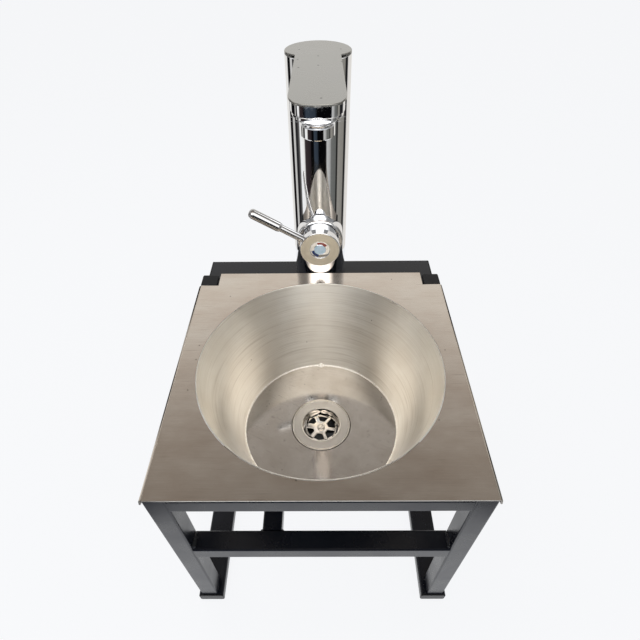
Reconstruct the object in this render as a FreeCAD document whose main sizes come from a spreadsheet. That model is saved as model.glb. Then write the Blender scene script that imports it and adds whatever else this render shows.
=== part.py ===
import FreeCAD, Part
import math
import operator
import os
from types import SimpleNamespace

import Sketcher
from FreeCAD import Placement, Rotation, Vector

# A small stainless steel hand wash sink. A folded top plate with a round conical bowl lies on a
# welded stand of box section, which runs on two floor skids. A wide pillar tap stands on a bar
# behind the bowl, with a flat spout and a lever that turns for warmth and tilts for flow.
# Millimetres, +X to the user's right, +Y away from the user, +Z up. The origin is on the bench,
# in the middle of the sink's outline.

SIZES = {
    # top plate
    "plate_width": 300,
    "rim_front": 17.8,
    "rim_overrun": 1.8,
    "tongue_depth": 23,
    "plate_thick": 1.5,
    "plate_height": 282,
    "flange_drop": 8,
    "fold_round": 1.2,
    # stand
    "tube": 20,
    "tube_wall": 1.5,
    "tube_round": 2,
    "cross_rail_depth": 15,
    "frame_gap": 0.3,
    "rail_gap": 1.2,
    "post_gap": 0.5,
    "notch_gap": 2.2,
    "brace_offset": -50.5,
    "skid_inset": 13.5,
    "skid_width": 30,
    "skid_height": 15,
    "skid_tail": 73,
    "skid_round": 3,
    "bar_depth": 53,
    "bar_height": 25,
    "bar_drop": 19,
    "bar_round": 2,
    "plug_head": 2,
    "plug_depth": 12,
    "plug_wall": 2,
    "plug_fit": 0.1,
    "plug_edge": 1,
    "bead": 2.6,
    # bowl
    "rim_gap": 1.2,
    "rim_lip": 0.4,
    "floor_dia": 183,
    "bowl_depth": 115,
    "bowl_wall_thick": 1,
    "hole_fit": 0.05,
    "floor_edge": 1.5,
    "bowl_bead": 1.8,
    # waste
    "dish_dia": 72,
    "dish_depth": 2,
    "waste_hole": 49,
    "flange_dia": 70,
    "flange_thick": 1.2,
    "flange_edge": 1.2,
    "cup_outer": 47.6,
    "cup_bore": 44.8,
    "cup_depth": 9,
    "cup_floor": 1.6,
    "cup_mouth": 2.2,
    "ledge_bore": 40.8,
    "seal_thick": 1,
    "seal_bore": 52,
    "under_seal_thick": 3,
    "waste_collar_dia": 66,
    "waste_collar": 3,
    "waste_body_dia": 56,
    "waste_body_length": 37,
    "waste_fit": 0.2,
    "tail_dia": 47.8,
    "tail_bore": 39,
    "tail_length": 30,
    "spider_width": 6,
    "spider_height": 5,
    "spider_hub": 12,
    "grid_thick": 1.4,
    "grid_fit": 0.1,
    "grid_hub": 6.5,
    "grid_reach": 19.5,
    "grid_bar": 2.6,
    "grid_round": 1.6,
    "grid_holes": 6,
    "screw_dia": 5,
    "screw_head_dia": 9.5,
    "screw_head": 2.2,
    "screw_fit": 0.05,
    "screw_tip": 1,
    "slot_width": 1.4,
    "slot_depth": 1.1,
    # tap
    "tap_behind": 55.5,
    "tap_dia": 64,
    "tap_top": 242.2,
    "pillar_wall": 3,
    "pillar_web": 8,
    "foot_seal": 1.5,
    "foot_seal_inset": 2,
    "foot_bore": 36,
    "tap_hole": 32,
    "inlet_dia": 10,
    "inlet_depth": 12,
    "inlet_offset": 8.5,
    "inlet_shift": -3,
    "stud_dia": 8,
    "stud_shift": 10.5,
    "stud_depth": 10,
    "stud_fit": 0.05,
    "stud_length": 74,
    "shoe_dia": 42,
    "shoe_slot": 28,
    "shoe_seal": 2,
    "shoe_plate": 2,
    "nut_flats": 13,
    "nut_height": 6.5,
    "spout_width": 35.5,
    "spout_upper": 6.4,
    "spout_lower": 3.2,
    "spout_step": 0.8,
    "spout_reach": 136,
    "cover_width": 42,
    "cover_reach": 139,
    "cover_thick": 1.8,
    "cover_edge": 0.4,
    "nose_rise": 9.5,
    "nose_corner": 8,
    "aerator_reach": 124,
    "neck_dia": 25.6,
    "neck_top_dia": 33,
    "neck_straight": 1,
    "neck_height": 7,
    "aerator_dia": 27.4,
    "aerator_height": 10,
    "aerator_bore": 22,
    "aerator_edge": 1,
    "insert_thick": 4,
    "insert_depth": 1.5,
    "insert_fit": 0.1,
    "outlet_dia": 18,
    # cartridge, measured from the plane of the boss face
    "boss_dia": 54,
    "boss_reach": 39.5,
    "boss_edge": 3,
    "handle_height": 54,
    "cartridge_bore": 36,
    "bore_depth": 35,
    "cartridge_dia": 35,
    "cartridge_front": 11,
    "cartridge_seal_thick": 1.5,
    "ring_nut_bore": 29.2,
    "ring_nut_front": 5,
    "ring_fit": 0.1,
    "shroud_dia": 41,
    "shroud_front": 7.5,
    "shroud_face_dia": 37,
    "shroud_wall": 1.6,
    "shroud_opening": 28,
    "shroud_spigot": 4,
    "rotor_dia": 27,
    "rotor_front": 6,
    "ear_inner": 4.8,
    "ear_outer": 8,
    "ear_round": 3.6,
    "pin_dia": 3,
    "pin_fit": 0.03,
    # handle
    "lever_angle": 32,
    "eye_half": 4.5,
    "eye_round": 3.4,
    "spindle_dia": 7,
    "spindle_fit": 0.05,
    "spindle_end": 15,
    "cap_dia": 46,
    "cap_face": 18,
    "cap_rim": 8.5,
    "cap_cavity": 43,
    "cap_web": 14.5,
    "cap_hub_dia": 14,
    "cap_hub_back": 9,
    "cap_edge": 0.8,
    "button_dia": 23,
    "button_depth": 2,
    "button_thick": 1.2,
    "button_fit": 0.1,
    "button_dome_dia": 13,
    "button_dome": 0.6,
    "lever_axis": 13.2,
    "lever_dia": 8,
    "lever_thread": 5,
    "lever_root": 20.4,
    "collar_at": 51.5,
    "collar_length": 3,
    "collar_neck": 9.4,
    "grip_dia": 11,
    "grip_end": 90,
    "grip_round": 4.4,
    "lever_seat": 6,
    "grub_dia": 4,
    "grub_length": 4,
    "grub_hex": 2,
    "grub_hex_depth": 2,
    "grub_fit": 0.05,
    # how far a drill or a hidden joint runs past the face it starts from
    "overrun": 1,
}

doc = FreeCAD.newDocument("HandWashSink")
sheet = doc.addObject("Spreadsheet::Sheet", "Sizes")


class Size:
    # A length that is known both as a number and as a formula on the sheet.
    def __init__(self, formula, value):
        self.formula = formula
        self.value = value

    def joined(self, other, sign, work, flip=False):
        other = other if isinstance(other, Size) else Size(repr(float(other)), float(other))
        first, second = (other, self) if flip else (self, other)
        return Size(f"({first.formula} {sign} {second.formula})", work(first.value, second.value))

    def __add__(self, other):
        return self.joined(other, "+", operator.add)

    def __radd__(self, other):
        return self.joined(other, "+", operator.add, flip=True)

    def __sub__(self, other):
        return self.joined(other, "-", operator.sub)

    def __rsub__(self, other):
        return self.joined(other, "-", operator.sub, flip=True)

    def __mul__(self, other):
        return self.joined(other, "*", operator.mul)

    def __rmul__(self, other):
        return self.joined(other, "*", operator.mul, flip=True)

    def __truediv__(self, other):
        return self.joined(other, "/", operator.truediv)

    def __neg__(self):
        return self.joined(-1, "*", operator.mul)


def fill_sheet():
    known = {}
    for row, (name, number) in enumerate(SIZES.items(), start=1):
        sheet.set(f"A{row}", name)
        sheet.set(f"B{row}", str(number))
        sheet.setAlias(f"B{row}", name)
        known[name] = Size(f"Sizes.{name}", float(number))
    doc.recompute()
    return SimpleNamespace(**known)


s = fill_sheet()
ZERO = Size("0", 0.0)
pieces = {}


def number(length):
    return length.value if isinstance(length, Size) else float(length)


def root(square):
    # The square root of a worked-out size.
    return Size(f"sqrt({square.formula})", math.sqrt(square.value))


def bind(thing, prop, length):
    if isinstance(length, Size):
        thing.setExpression(prop, length.formula)
    else:
        thing.setExpression(prop, repr(float(length)))


def place(thing, at=(0, 0, 0), turn=None):
    # Puts a thing at a point of worked-out sizes, turned by a rotation.
    if turn is not None:
        thing.Placement = Placement(Vector(), turn)
    for axis, length in zip("xyz", at):
        bind(thing, f"Placement.Base.{axis}", length)
    return thing


def keep(label, thing):
    thing.Label = label
    pieces[label] = thing
    return thing


# ---- sketches and features -------------------------------------------------------------------

def new_body(label):
    body = doc.addObject("PartDesign::Body", label + "_body")
    return keep(label, body)


def plane_of(body, role):
    return next(item for item in body.Origin.OriginFeatures if item.Role == role)


def fix_point(sketch, shape, point, spot):
    # Ties one point of a sketch to the two sizes that give its place.
    for kind, length in zip(("DistanceX", "DistanceY"), spot):
        rule = Sketcher.Constraint(kind, -1, 1, shape, point, number(length))
        index = sketch.addConstraint(rule)
        bind(sketch, f"Constraints[{index}]", length)


def draw_polygon(sketch, corners):
    spots = [Vector(number(x), number(y), 0) for x, y in corners]
    first = sketch.GeometryCount
    for here, there in zip(spots, spots[1:] + spots[:1]):
        sketch.addGeometry(Part.LineSegment(here, there), False)
    last = sketch.GeometryCount - 1
    for shape, corner in zip(range(first, last + 1), corners):
        before = last if shape == first else shape - 1
        sketch.addConstraint(Sketcher.Constraint("Coincident", before, 2, shape, 1))
        fix_point(sketch, shape, 1, corner)


def draw_circle(sketch, centre, radius):
    spot = Vector(number(centre[0]), number(centre[1]), 0)
    shape = sketch.addGeometry(Part.Circle(spot, Vector(0, 0, 1), number(radius)), False)
    fix_point(sketch, shape, 3, centre)
    index = sketch.addConstraint(Sketcher.Constraint("Radius", shape, number(radius)))
    bind(sketch, f"Constraints[{index}]", radius)


def new_sketch(body, name, role="XY_Plane", height=None):
    sketch = body.newObject("Sketcher::SketchObject", name)
    sketch.AttachmentSupport = [(plane_of(body, role), "")]
    sketch.MapMode = "FlatFace"
    if height is not None:
        bind(sketch, "AttachmentOffset.Base.z", height)
    return sketch


def pad(body, name, outlines, length, height=None, circles=()):
    sketch = new_sketch(body, name + "_sketch", height=height)
    for corners in outlines:
        draw_polygon(sketch, corners)
    for centre, radius in circles:
        draw_circle(sketch, centre, radius)
    feature = body.newObject("PartDesign::Pad", name)
    feature.Profile = sketch
    bind(feature, "Length", length)
    return feature


def pocket(body, name, length, outlines=(), circles=(), height=None):
    # Cuts upward from the sketch, as far as the length says.
    doc.recompute()
    before = body.Shape.Volume
    sketch = new_sketch(body, name + "_sketch", height=height)
    for corners in outlines:
        draw_polygon(sketch, corners)
    for centre, radius in circles:
        draw_circle(sketch, centre, radius)
    feature = body.newObject("PartDesign::Pocket", name)
    feature.Profile = sketch
    feature.Reversed = True
    bind(feature, "Length", length)
    doc.recompute()
    if body.Shape.Volume > before - 1e-3:
        raise RuntimeError(f"{name} cuts nothing")
    return feature


def turned(label, outline):
    # A round piece, from its outline as pairs of radius and height.
    body = new_body(label)
    sketch = new_sketch(body, label + "_outline", role="XZ_Plane")
    draw_polygon(sketch, outline)
    feature = body.newObject("PartDesign::Revolution", label + "_turn")
    feature.Profile = sketch
    feature.ReferenceAxis = (sketch, ["V_Axis"])
    feature.Angle = 360
    return body


def soften(body, size, chosen, kind="Fillet"):
    # Rounds or bevels those edges of the last feature that the test picks.
    doc.recompute()
    base = body.Tip
    names = [f"Edge{i}" for i, edge in enumerate(base.Shape.Edges, start=1) if chosen(edge)]
    feature = body.newObject(f"PartDesign::{kind}", f"{body.Name}_{kind}")
    feature.Base = (base, names)
    bind(feature, {"Fillet": "Radius", "Chamfer": "Size"}[kind], size)
    doc.recompute()
    return feature


def along(edge, direction):
    # True for a straight edge that runs in the direction.
    if not isinstance(edge.Curve, Part.Line):
        return False
    return abs(edge.Curve.Direction.dot(Vector(*direction))) > 0.999


def centred(width, depth, mid=(0, 0)):
    # The four corners of a rectangle about a point.
    left, right = mid[0] - width / 2, mid[0] + width / 2
    near, far = mid[1] - depth / 2, mid[1] + depth / 2
    return [(left, near), (right, near), (right, far), (left, far)]


# ---- primitives ------------------------------------------------------------------------------

def solid(kind, name, at=(0, 0, 0), turn=None, **sizes):
    thing = doc.addObject(f"Part::{kind}", name)
    for prop, length in sizes.items():
        bind(thing, prop, length)
    return place(thing, at, turn)


def cylinder(name, dia, height, at=(0, 0, 0), turn=None):
    return solid("Cylinder", name, at, turn, Radius=dia / 2, Height=height)


def block(name, width, depth, height, at=(0, 0, 0)):
    # A box that is centred on its point in X and Y and stands on it.
    corner = (at[0] - width / 2, at[1] - depth / 2, at[2])
    return solid("Box", name, corner, Length=width, Width=depth, Height=height)


def cut(name, base, *tools):
    for index, tool in enumerate(tools):
        result = doc.addObject("Part::Cut", f"{name}_cut{index}")
        result.Base = base
        result.Tool = tool
        base = result
    return base


def fuse(name, *shapes):
    result = doc.addObject("Part::MultiFuse", f"{name}_joined")
    result.Shapes = list(shapes)
    result.Refine = True
    return result


# ---- levels and lines shared by the pieces -------------------------------------------------

plate_top = s.plate_height
plate_under = plate_top - s.plate_thick
leg_face = s.plate_width / 2 - s.plate_thick - s.frame_gap
rim_dia = (leg_face - s.tube - s.rim_gap) * 2
plate_depth = s.rim_front + rim_dia - s.rim_overrun
bowl_set_back = s.rim_front + rim_dia / 2
tap_set_back = plate_depth + s.tap_behind
front = -(tap_set_back + s.tap_dia / 2 - s.plug_head) / 2
leg_x = leg_face - s.tube / 2
leg_y = front + s.tube / 2
post_front = front + plate_depth + s.post_gap
post_y = post_front + s.tube / 2
post_back = post_front + s.tube
rail_mid_z = plate_under - s.rail_gap - s.tube / 2
front_rail_y = front + s.cross_rail_depth / 2
back_rail_y = post_back - s.cross_rail_depth / 2
bar_top = plate_top - s.bar_drop
bar_y = post_back + s.bar_depth / 2
bowl_y = front + bowl_set_back
floor_top = plate_top - s.bowl_depth
mid_z = floor_top - s.bowl_wall_thick - s.tube / 2
tap_y = front + tap_set_back
tap_foot = bar_top + s.foot_seal
skid_x = s.plate_width / 2 - s.skid_inset
skid_length = plate_depth + s.skid_tail
SIDES = {"left": -1, "right": 1}

ALONG_X = Rotation(Vector(0, 0, 1), Vector(1, 0, 0))
ALONG_Y = Rotation(Vector(0, 0, 1), Vector(0, 1, 0))
TO_USER = Rotation(Vector(0, 0, 1), Vector(0, -1, 0))


# ---- welded stand ----------------------------------------------------------------------------

def box_section(label, width, depth, length, wall, corner, at, turn=None):
    # A length of hollow section, from the middle of its starting end.
    body = new_body(label)
    inside = centred(width - wall * 2, depth - wall * 2)
    pad(body, label + "_pad", [centred(width, depth), inside], length)
    half = (number(width) / 2, number(depth) / 2)

    def outer_corner(edge):
        spot = edge.Vertexes[0].Point
        return along(edge, (0, 0, 1)) and math.dist((abs(spot.x), abs(spot.y)), half) < 0.01

    soften(body, corner, outer_corner)
    return place(body, at, turn)


def tube(label, length, at, turn=None):
    return box_section(label, s.tube, s.tube, length, s.tube_wall, s.tube_round, at, turn)


def build_stand():
    between_legs = (leg_face - s.tube) * 2
    side_run = plate_depth + s.post_gap - s.tube
    for side, sign in SIDES.items():
        tube(f"front_leg_{side}", plate_under - s.skid_height, (sign * leg_x, leg_y, s.skid_height))
        post_length = plate_top - s.plug_head - s.skid_height
        tube(f"rear_post_{side}", post_length, (sign * leg_x, post_y, s.skid_height))
        tube(f"side_top_rail_{side}", side_run, (sign * leg_x, front + s.tube, rail_mid_z), ALONG_Y)
        box_section(f"skid_{side}", s.skid_width, s.skid_height, skid_length, s.tube_wall,
                    s.skid_round, (sign * skid_x, front, s.skid_height / 2), ALONG_Y)
    start = -between_legs / 2
    for label, y in (("front_top_rail", front_rail_y), ("rear_top_rail", back_rail_y)):
        box_section(label, s.tube, s.cross_rail_depth, between_legs, s.tube_wall, s.tube_round,
                    (start, y, rail_mid_z), ALONG_X)
    tube("front_mid_rail", between_legs, (start, leg_y, mid_z), ALONG_X)
    tube("rear_mid_rail", between_legs, (start, post_y, mid_z), ALONG_X)
    tube("mid_brace", side_run, (s.brace_offset, front + s.tube, mid_z), ALONG_Y)


def build_tap_bar():
    # The bar is lower and deeper than the rails and carries the tap behind the plate.
    length = (leg_face - s.plug_head) * 2
    at = (-length / 2, bar_y, bar_top - s.bar_height / 2)
    bar = box_section("tap_bar_tube", s.bar_height, s.bar_depth, length, s.tube_wall,
                      s.bar_round, at, ALONG_X)
    del pieces["tap_bar_tube"]
    drill = cylinder("tap_bar_drill", s.tap_hole, s.bar_height + s.overrun * 2,
                     (0, tap_y, bar_top - s.bar_height - s.overrun))
    keep("tap_bar", cut("tap_bar", bar, drill))


def end_plug(label, width, depth, wall, corner, at, turn=None):
    # A plastic plug: a head of the tube's outline and a hollow shank that goes into it.
    body = new_body(label)
    pad(body, label + "_head", [centred(width, depth)], s.plug_head)

    def head_corner(edge):
        return along(edge, (0, 0, 1))

    soften(body, corner, head_corner)
    shank_width = width - (wall + s.plug_fit) * 2
    shank_depth = depth - (wall + s.plug_fit) * 2
    hollow = centred(shank_width - s.plug_wall * 2, shank_depth - s.plug_wall * 2)
    pad(body, label + "_shank", [centred(shank_width, shank_depth), hollow],
        s.plug_depth, height=-s.plug_depth)
    rim = number(s.plug_head)

    def head_rim(edge):
        return all(abs(v.Point.z - rim) < 1e-6 for v in edge.Vertexes)

    soften(body, s.plug_edge, head_rim)
    return place(body, at, turn)


def build_plugs():
    for side, sign in SIDES.items():
        x, z = sign * skid_x, s.skid_height / 2
        skid = (s.skid_width, s.skid_height, s.tube_wall, s.skid_round)
        end_plug(f"skid_cap_front_{side}", *skid, (x, front, z), TO_USER)
        end_plug(f"skid_cap_rear_{side}", *skid, (x, front + skid_length, z), ALONG_Y)
        end_plug(f"post_cap_{side}", s.tube, s.tube, s.tube_wall, s.tube_round,
                 (sign * leg_x, post_y, plate_top - s.plug_head))
        outward = Rotation(Vector(0, 0, 1), Vector(sign, 0, 0))
        end_plug(f"tap_bar_cap_{side}", s.bar_height, s.bar_depth, s.tube_wall, s.bar_round,
                 (sign * (leg_face - s.plug_head), bar_y, bar_top - s.bar_height / 2), outward)


def build_beads():
    # Fillet welds: a quarter round in each corner where a rail meets a leg or a post.
    inner = leg_face - s.tube
    under_rail, under_mid = rail_mid_z - s.tube / 2, mid_z - s.tube / 2
    beads = []

    def bead(middle, run_axis, section, first, second):
        # One bead about its middle, whose flat sides face away from the two directions.
        run = section - s.tube_round * 2
        start = [spot - run / 2 * way for spot, way in zip(middle, run_axis)]
        along_run, first, second = Vector(*run_axis), Vector(*first), Vector(*second)
        if first.cross(second).dot(along_run) < 0:
            first, second = second, first
        turn = Rotation(first, second, along_run, "ZXY")
        beads.append(solid("Cylinder", "bead", start, turn, Radius=s.bead, Height=run, Angle=90))

    up, down = (0, 0, 1), (0, 0, -1)
    for sign in SIDES.values():
        edge, inward = sign * inner, (-sign, 0, 0)
        for y in (leg_y, post_y):
            bead((edge, y, mid_z + s.tube / 2), (0, 1, 0), s.tube, inward, up)
            bead((edge, y, under_mid), (0, 1, 0), s.tube, inward, down)
        for y in (front_rail_y, back_rail_y):
            bead((edge, y, under_rail), (0, 1, 0), s.cross_rail_depth, inward, down)
        for y, way in ((front + s.tube, (0, 1, 0)), (post_front, (0, -1, 0))):
            bead((sign * leg_x, y, under_rail), (1, 0, 0), s.tube, way, down)
            bead((sign * leg_x, y, s.skid_height), (1, 0, 0), s.tube, way, up)
            side = s.brace_offset + sign * s.tube / 2
            bead((side, y, mid_z), up, s.tube, (sign, 0, 0), way)
        bead((sign * leg_x, post_back, bar_top), (1, 0, 0), s.tube, (0, 1, 0), up)
        bead((sign * leg_x, post_back, s.skid_height), (1, 0, 0), s.tube, (0, 1, 0), up)
    group = doc.addObject("Part::Compound", "bead_group")
    group.Links = beads
    keep("weld_beads", group)


# ---- plate and bowl ----------------------------------------------------------------------------

wall_run = (rim_dia - s.floor_dia) / 2
wall_lean = wall_run / (s.bowl_depth + s.rim_lip)
wall_slant = root(wall_run * wall_run + s.bowl_depth * s.bowl_depth)
wall_level = s.bowl_wall_thick * wall_slant / s.bowl_depth


def build_plate():
    # A sheet with a round hole, notched at the back round the posts and folded down at the sides.
    half = s.plate_width / 2
    inner = leg_face - s.tube - s.notch_gap
    back, tongue = plate_depth, plate_depth + s.tongue_depth
    body = new_body("top_plate")
    outline = [(-half, ZERO), (half, ZERO), (half, back), (inner, back), (inner, tongue),
               (-inner, tongue), (-inner, back), (-half, back)]
    pad(body, "plate_sheet", [outline], s.plate_thick)
    folds = [centred(s.plate_thick, plate_depth,
                     (sign * (half - s.plate_thick / 2), plate_depth / 2))
             for sign in SIDES.values()]
    pad(body, "plate_folds", folds, s.flange_drop, height=s.plate_thick - s.flange_drop)
    reach = number(half)

    def fold_edge(edge):
        spot = edge.CenterOfMass
        return (along(edge, (0, 1, 0)) and abs(abs(spot.x) - reach) < 1e-3
                and abs(spot.z - s.plate_thick.value) < 1e-3)

    soften(body, s.fold_round, fold_edge)
    hole = rim_dia / 2 + wall_level + s.hole_fit
    pocket(body, "bowl_hole", s.plate_thick, circles=[((ZERO, bowl_set_back), hole)])
    place(body, (0, front, plate_under))


def build_bowl():
    rim, floor = rim_dia / 2, s.floor_dia / 2
    at = (0, bowl_y, floor_top)
    wall = turned("bowl_wall", [(rim, s.bowl_depth + s.rim_lip),
                                (rim + wall_level, s.bowl_depth + s.rim_lip),
                                (floor + wall_level, ZERO), (floor, ZERO)])
    place(wall, at)
    dish, hole = s.dish_dia / 2, s.waste_hole / 2
    sheet_under, dish_under = -s.bowl_wall_thick, -s.dish_depth - s.bowl_wall_thick
    edge = floor + wall_level + s.floor_edge
    slope = s.bowl_wall_thick
    disc = turned("bowl_floor", [(edge, ZERO), (dish, ZERO), (dish - slope, -s.dish_depth),
                                 (hole, -s.dish_depth), (hole, dish_under),
                                 (dish, dish_under), (dish + slope, sheet_under),
                                 (edge, sheet_under)])
    place(disc, at)
    leg, toe = s.bowl_bead, floor - s.hole_fit
    bead = turned("bowl_weld", [(floor - leg, ZERO), (toe, ZERO), (toe + leg * wall_lean, leg)])
    place(bead, at)


# ---- waste -------------------------------------------------------------------------------------

def build_waste():
    at = (0, bowl_y, floor_top)
    dish = -s.dish_depth
    seat = dish + s.seal_thick
    top = seat + s.flange_thick
    cup, shell, rim = s.cup_bore / 2, s.cup_outer / 2, s.flange_dia / 2
    ledge = top - s.cup_depth
    cup_end = ledge - s.cup_floor
    seal_edge = s.flange_dia / 2 - s.seal_thick
    place(turned("flange_seal", [(s.seal_bore / 2, dish), (seal_edge, dish),
                                 (seal_edge, seat), (s.seal_bore / 2, seat)]), at)
    place(turned("waste_flange", [(rim, seat), (rim, top - s.flange_edge / 2),
                                  (rim - s.flange_edge, top), (cup + s.cup_mouth, top),
                                  (cup, top - s.cup_mouth), (cup, ledge),
                                  (s.ledge_bore / 2, ledge), (s.ledge_bore / 2, cup_end),
                                  (shell, cup_end), (shell, seat)]), at)

    under = dish - s.bowl_wall_thick
    collar_top = under - s.under_seal_thick
    collar = s.waste_collar_dia / 2
    bore = shell + s.waste_fit
    place(turned("under_seal", [(bore, collar_top), (collar, collar_top), (collar, under),
                                (bore, under)]), at)

    spider_top = cup_end - s.waste_fit
    spider_under = spider_top - s.spider_height
    body_end = collar_top - s.waste_body_length
    tail_end = body_end - s.tail_length
    shell_turn = turned("waste_shell", [
        (bore, collar_top), (collar, collar_top), (collar, collar_top - s.waste_collar),
        (s.waste_body_dia / 2, collar_top - s.waste_collar), (s.waste_body_dia / 2, body_end),
        (s.tail_dia / 2, body_end), (s.tail_dia / 2, tail_end), (s.tail_bore / 2, tail_end),
        (s.tail_bore / 2, spider_top), (bore, spider_top)])
    del pieces["waste_shell"]
    spider = block("waste_spider", s.tail_bore + s.overrun, s.spider_width, s.spider_height,
                   (ZERO, ZERO, spider_under))
    hub = cylinder("waste_hub", s.spider_hub, s.spider_height, (0, 0, spider_under))
    screw_hole = cylinder("waste_screw_hole", s.screw_dia + s.screw_fit * 2, s.spider_height,
                          (0, 0, spider_under))
    joined = fuse("waste_body", shell_turn, spider, hub)
    keep("waste_body", place(cut("waste_body", joined, screw_hole), at))

    # The grid: a disc with rounded three-cornered holes between its bars.
    grid = new_body("strainer_grid")
    hole = s.screw_dia / 2 + s.screw_fit
    pad(grid, "grid_disc", [], s.grid_thick, circles=[((ZERO, ZERO), cup - s.grid_fit),
                                                      ((ZERO, ZERO), hole)])
    spread = math.tan(math.pi / SIZES["grid_holes"])
    tip = s.grid_hub + s.grid_bar
    half_out = s.grid_reach * spread - s.grid_bar / 2 / math.cos(math.pi / SIZES["grid_holes"])
    half_in = tip * spread - s.grid_bar / 2 / math.cos(math.pi / SIZES["grid_holes"])
    window = [(tip, -half_in), (s.grid_reach, -half_out), (s.grid_reach, half_out), (tip, half_in)]
    opening = pocket(grid, "grid_window", s.grid_thick, outlines=[window])
    ring = grid.newObject("PartDesign::PolarPattern", "grid_windows")
    ring.Originals = [opening]
    ring.Axis = (opening.Profile[0], ["N_Axis"])
    ring.Angle = 360
    ring.Occurrences = SIZES["grid_holes"]
    grid.Tip = ring

    def window_corner(edge):
        spot = edge.CenterOfMass
        return along(edge, (0, 0, 1)) and math.hypot(spot.x, spot.y) > s.grid_hub.value

    soften(grid, s.grid_round, window_corner)
    place(grid, (0, bowl_y, floor_top + ledge))

    head_seat = ledge + s.grid_thick
    radius = s.screw_dia / 2
    head = s.screw_head_dia / 2
    turned_screw = turned("screw_turn", [
        (ZERO, spider_under - s.screw_tip), (radius, spider_under - s.screw_tip),
        (radius, head_seat),
        (head, head_seat), (head, head_seat + s.screw_head / 2),
        (head - s.screw_head / 2, head_seat + s.screw_head), (ZERO, head_seat + s.screw_head)])
    del pieces["screw_turn"]
    slot = block("screw_slot", s.screw_head_dia, s.slot_width, s.slot_depth,
                 (ZERO, ZERO, head_seat + s.screw_head - s.slot_depth))
    keep("waste_screw", place(cut("waste_screw", turned_screw, slot), at))


# ---- tap ---------------------------------------------------------------------------------------

pivot = (ZERO, tap_y - s.boss_reach, plate_top + s.handle_height)
spout_top = plate_top + s.tap_top


def build_tap_body():
    # An upright pillar with a round boss at the front, bored for the cartridge.
    height = spout_top - tap_foot
    pillar = cylinder("tap_pillar", s.tap_dia, height, (0, tap_y, tap_foot))
    boss = turned("tap_boss", [(ZERO, ZERO), (s.boss_dia / 2, ZERO),
                               (s.boss_dia / 2, s.boss_reach), (ZERO, s.boss_reach)])
    reach = number(s.boss_reach)

    def boss_rim(edge):
        box = edge.BoundBox
        return edge.Length > 1 and abs(box.ZMin - reach) < 1e-3 and abs(box.ZMax - reach) < 1e-3

    soften(boss, s.boss_edge, boss_rim)
    del pieces["tap_boss"]
    joined = fuse("tap", pillar, place(boss, (0, tap_y, pivot[2]), TO_USER))
    bore = cylinder("tap_bore", s.cartridge_bore, s.bore_depth,
                    (0, pivot[1] + s.bore_depth, pivot[2]), TO_USER)
    hollow_start = pivot[2] + s.cartridge_bore / 2 + s.pillar_web
    hollow = cylinder("tap_hollow", s.tap_dia - s.pillar_wall * 2, spout_top - hollow_start,
                      (0, tap_y, hollow_start))
    tools = [bore, hollow]
    for side, sign in SIDES.items():
        spot = (sign * s.inlet_offset, tap_y + s.inlet_shift, tap_foot)
        tools.append(cylinder(f"inlet_{side}", s.inlet_dia, s.inlet_depth, spot))
    tools.append(cylinder("stud_hole", s.stud_dia + s.stud_fit * 2, s.stud_depth,
                          (0, tap_y + s.stud_shift, tap_foot)))
    keep("tap_body", cut("tap_body", joined, *tools))


def pad_strip(body, name, half, reach, rise, thick, height):
    # A flat strip from the tap's axis towards the user, whose end is an arc.
    side_end = rise - reach
    sketch = new_sketch(body, name + "_sketch", height=height)
    back_left, back_right = Vector(-half.value, 0, 0), Vector(half.value, 0, 0)
    left, right = (Vector(x.value, side_end.value, 0) for x in (-half, half))
    tip = Vector(0, -reach.value, 0)
    for shape in (Part.LineSegment(back_left, left), Part.Arc(left, tip, right),
                  Part.LineSegment(right, back_right), Part.LineSegment(back_right, back_left)):
        sketch.addGeometry(shape, False)
    # The arc's own ends are named the other way round, because it runs against the clock.
    arc_left, arc_right = (1, 2) if sketch.getPoint(1, 1).x < 0 else (2, 1)
    for first, end, second, start in ((0, 2, 1, arc_left), (1, arc_right, 2, 1),
                                      (2, 2, 3, 1), (3, 2, 0, 1)):
        sketch.addConstraint(Sketcher.Constraint("Coincident", first, end, second, start))
    for shape, point, spot in ((0, 1, (-half, ZERO)), (0, 2, (-half, side_end)),
                               (2, 1, (half, side_end)), (2, 2, (half, ZERO))):
        fix_point(sketch, shape, point, spot)
    radius = (half * half + rise * rise) / (rise * 2)
    index = sketch.addConstraint(Sketcher.Constraint("Radius", 1, radius.value))
    bind(sketch, f"Constraints[{index}]", radius)
    feature = body.newObject("PartDesign::Pad", name)
    feature.Profile = sketch
    bind(feature, "Length", thick)

    def nose_corner(edge):
        spot = edge.CenterOfMass
        gap = math.dist((abs(spot.x), spot.y), (half.value, side_end.value))
        return along(edge, (0, 0, 1)) and gap < 0.01

    soften(body, s.nose_corner, nose_corner)


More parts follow.
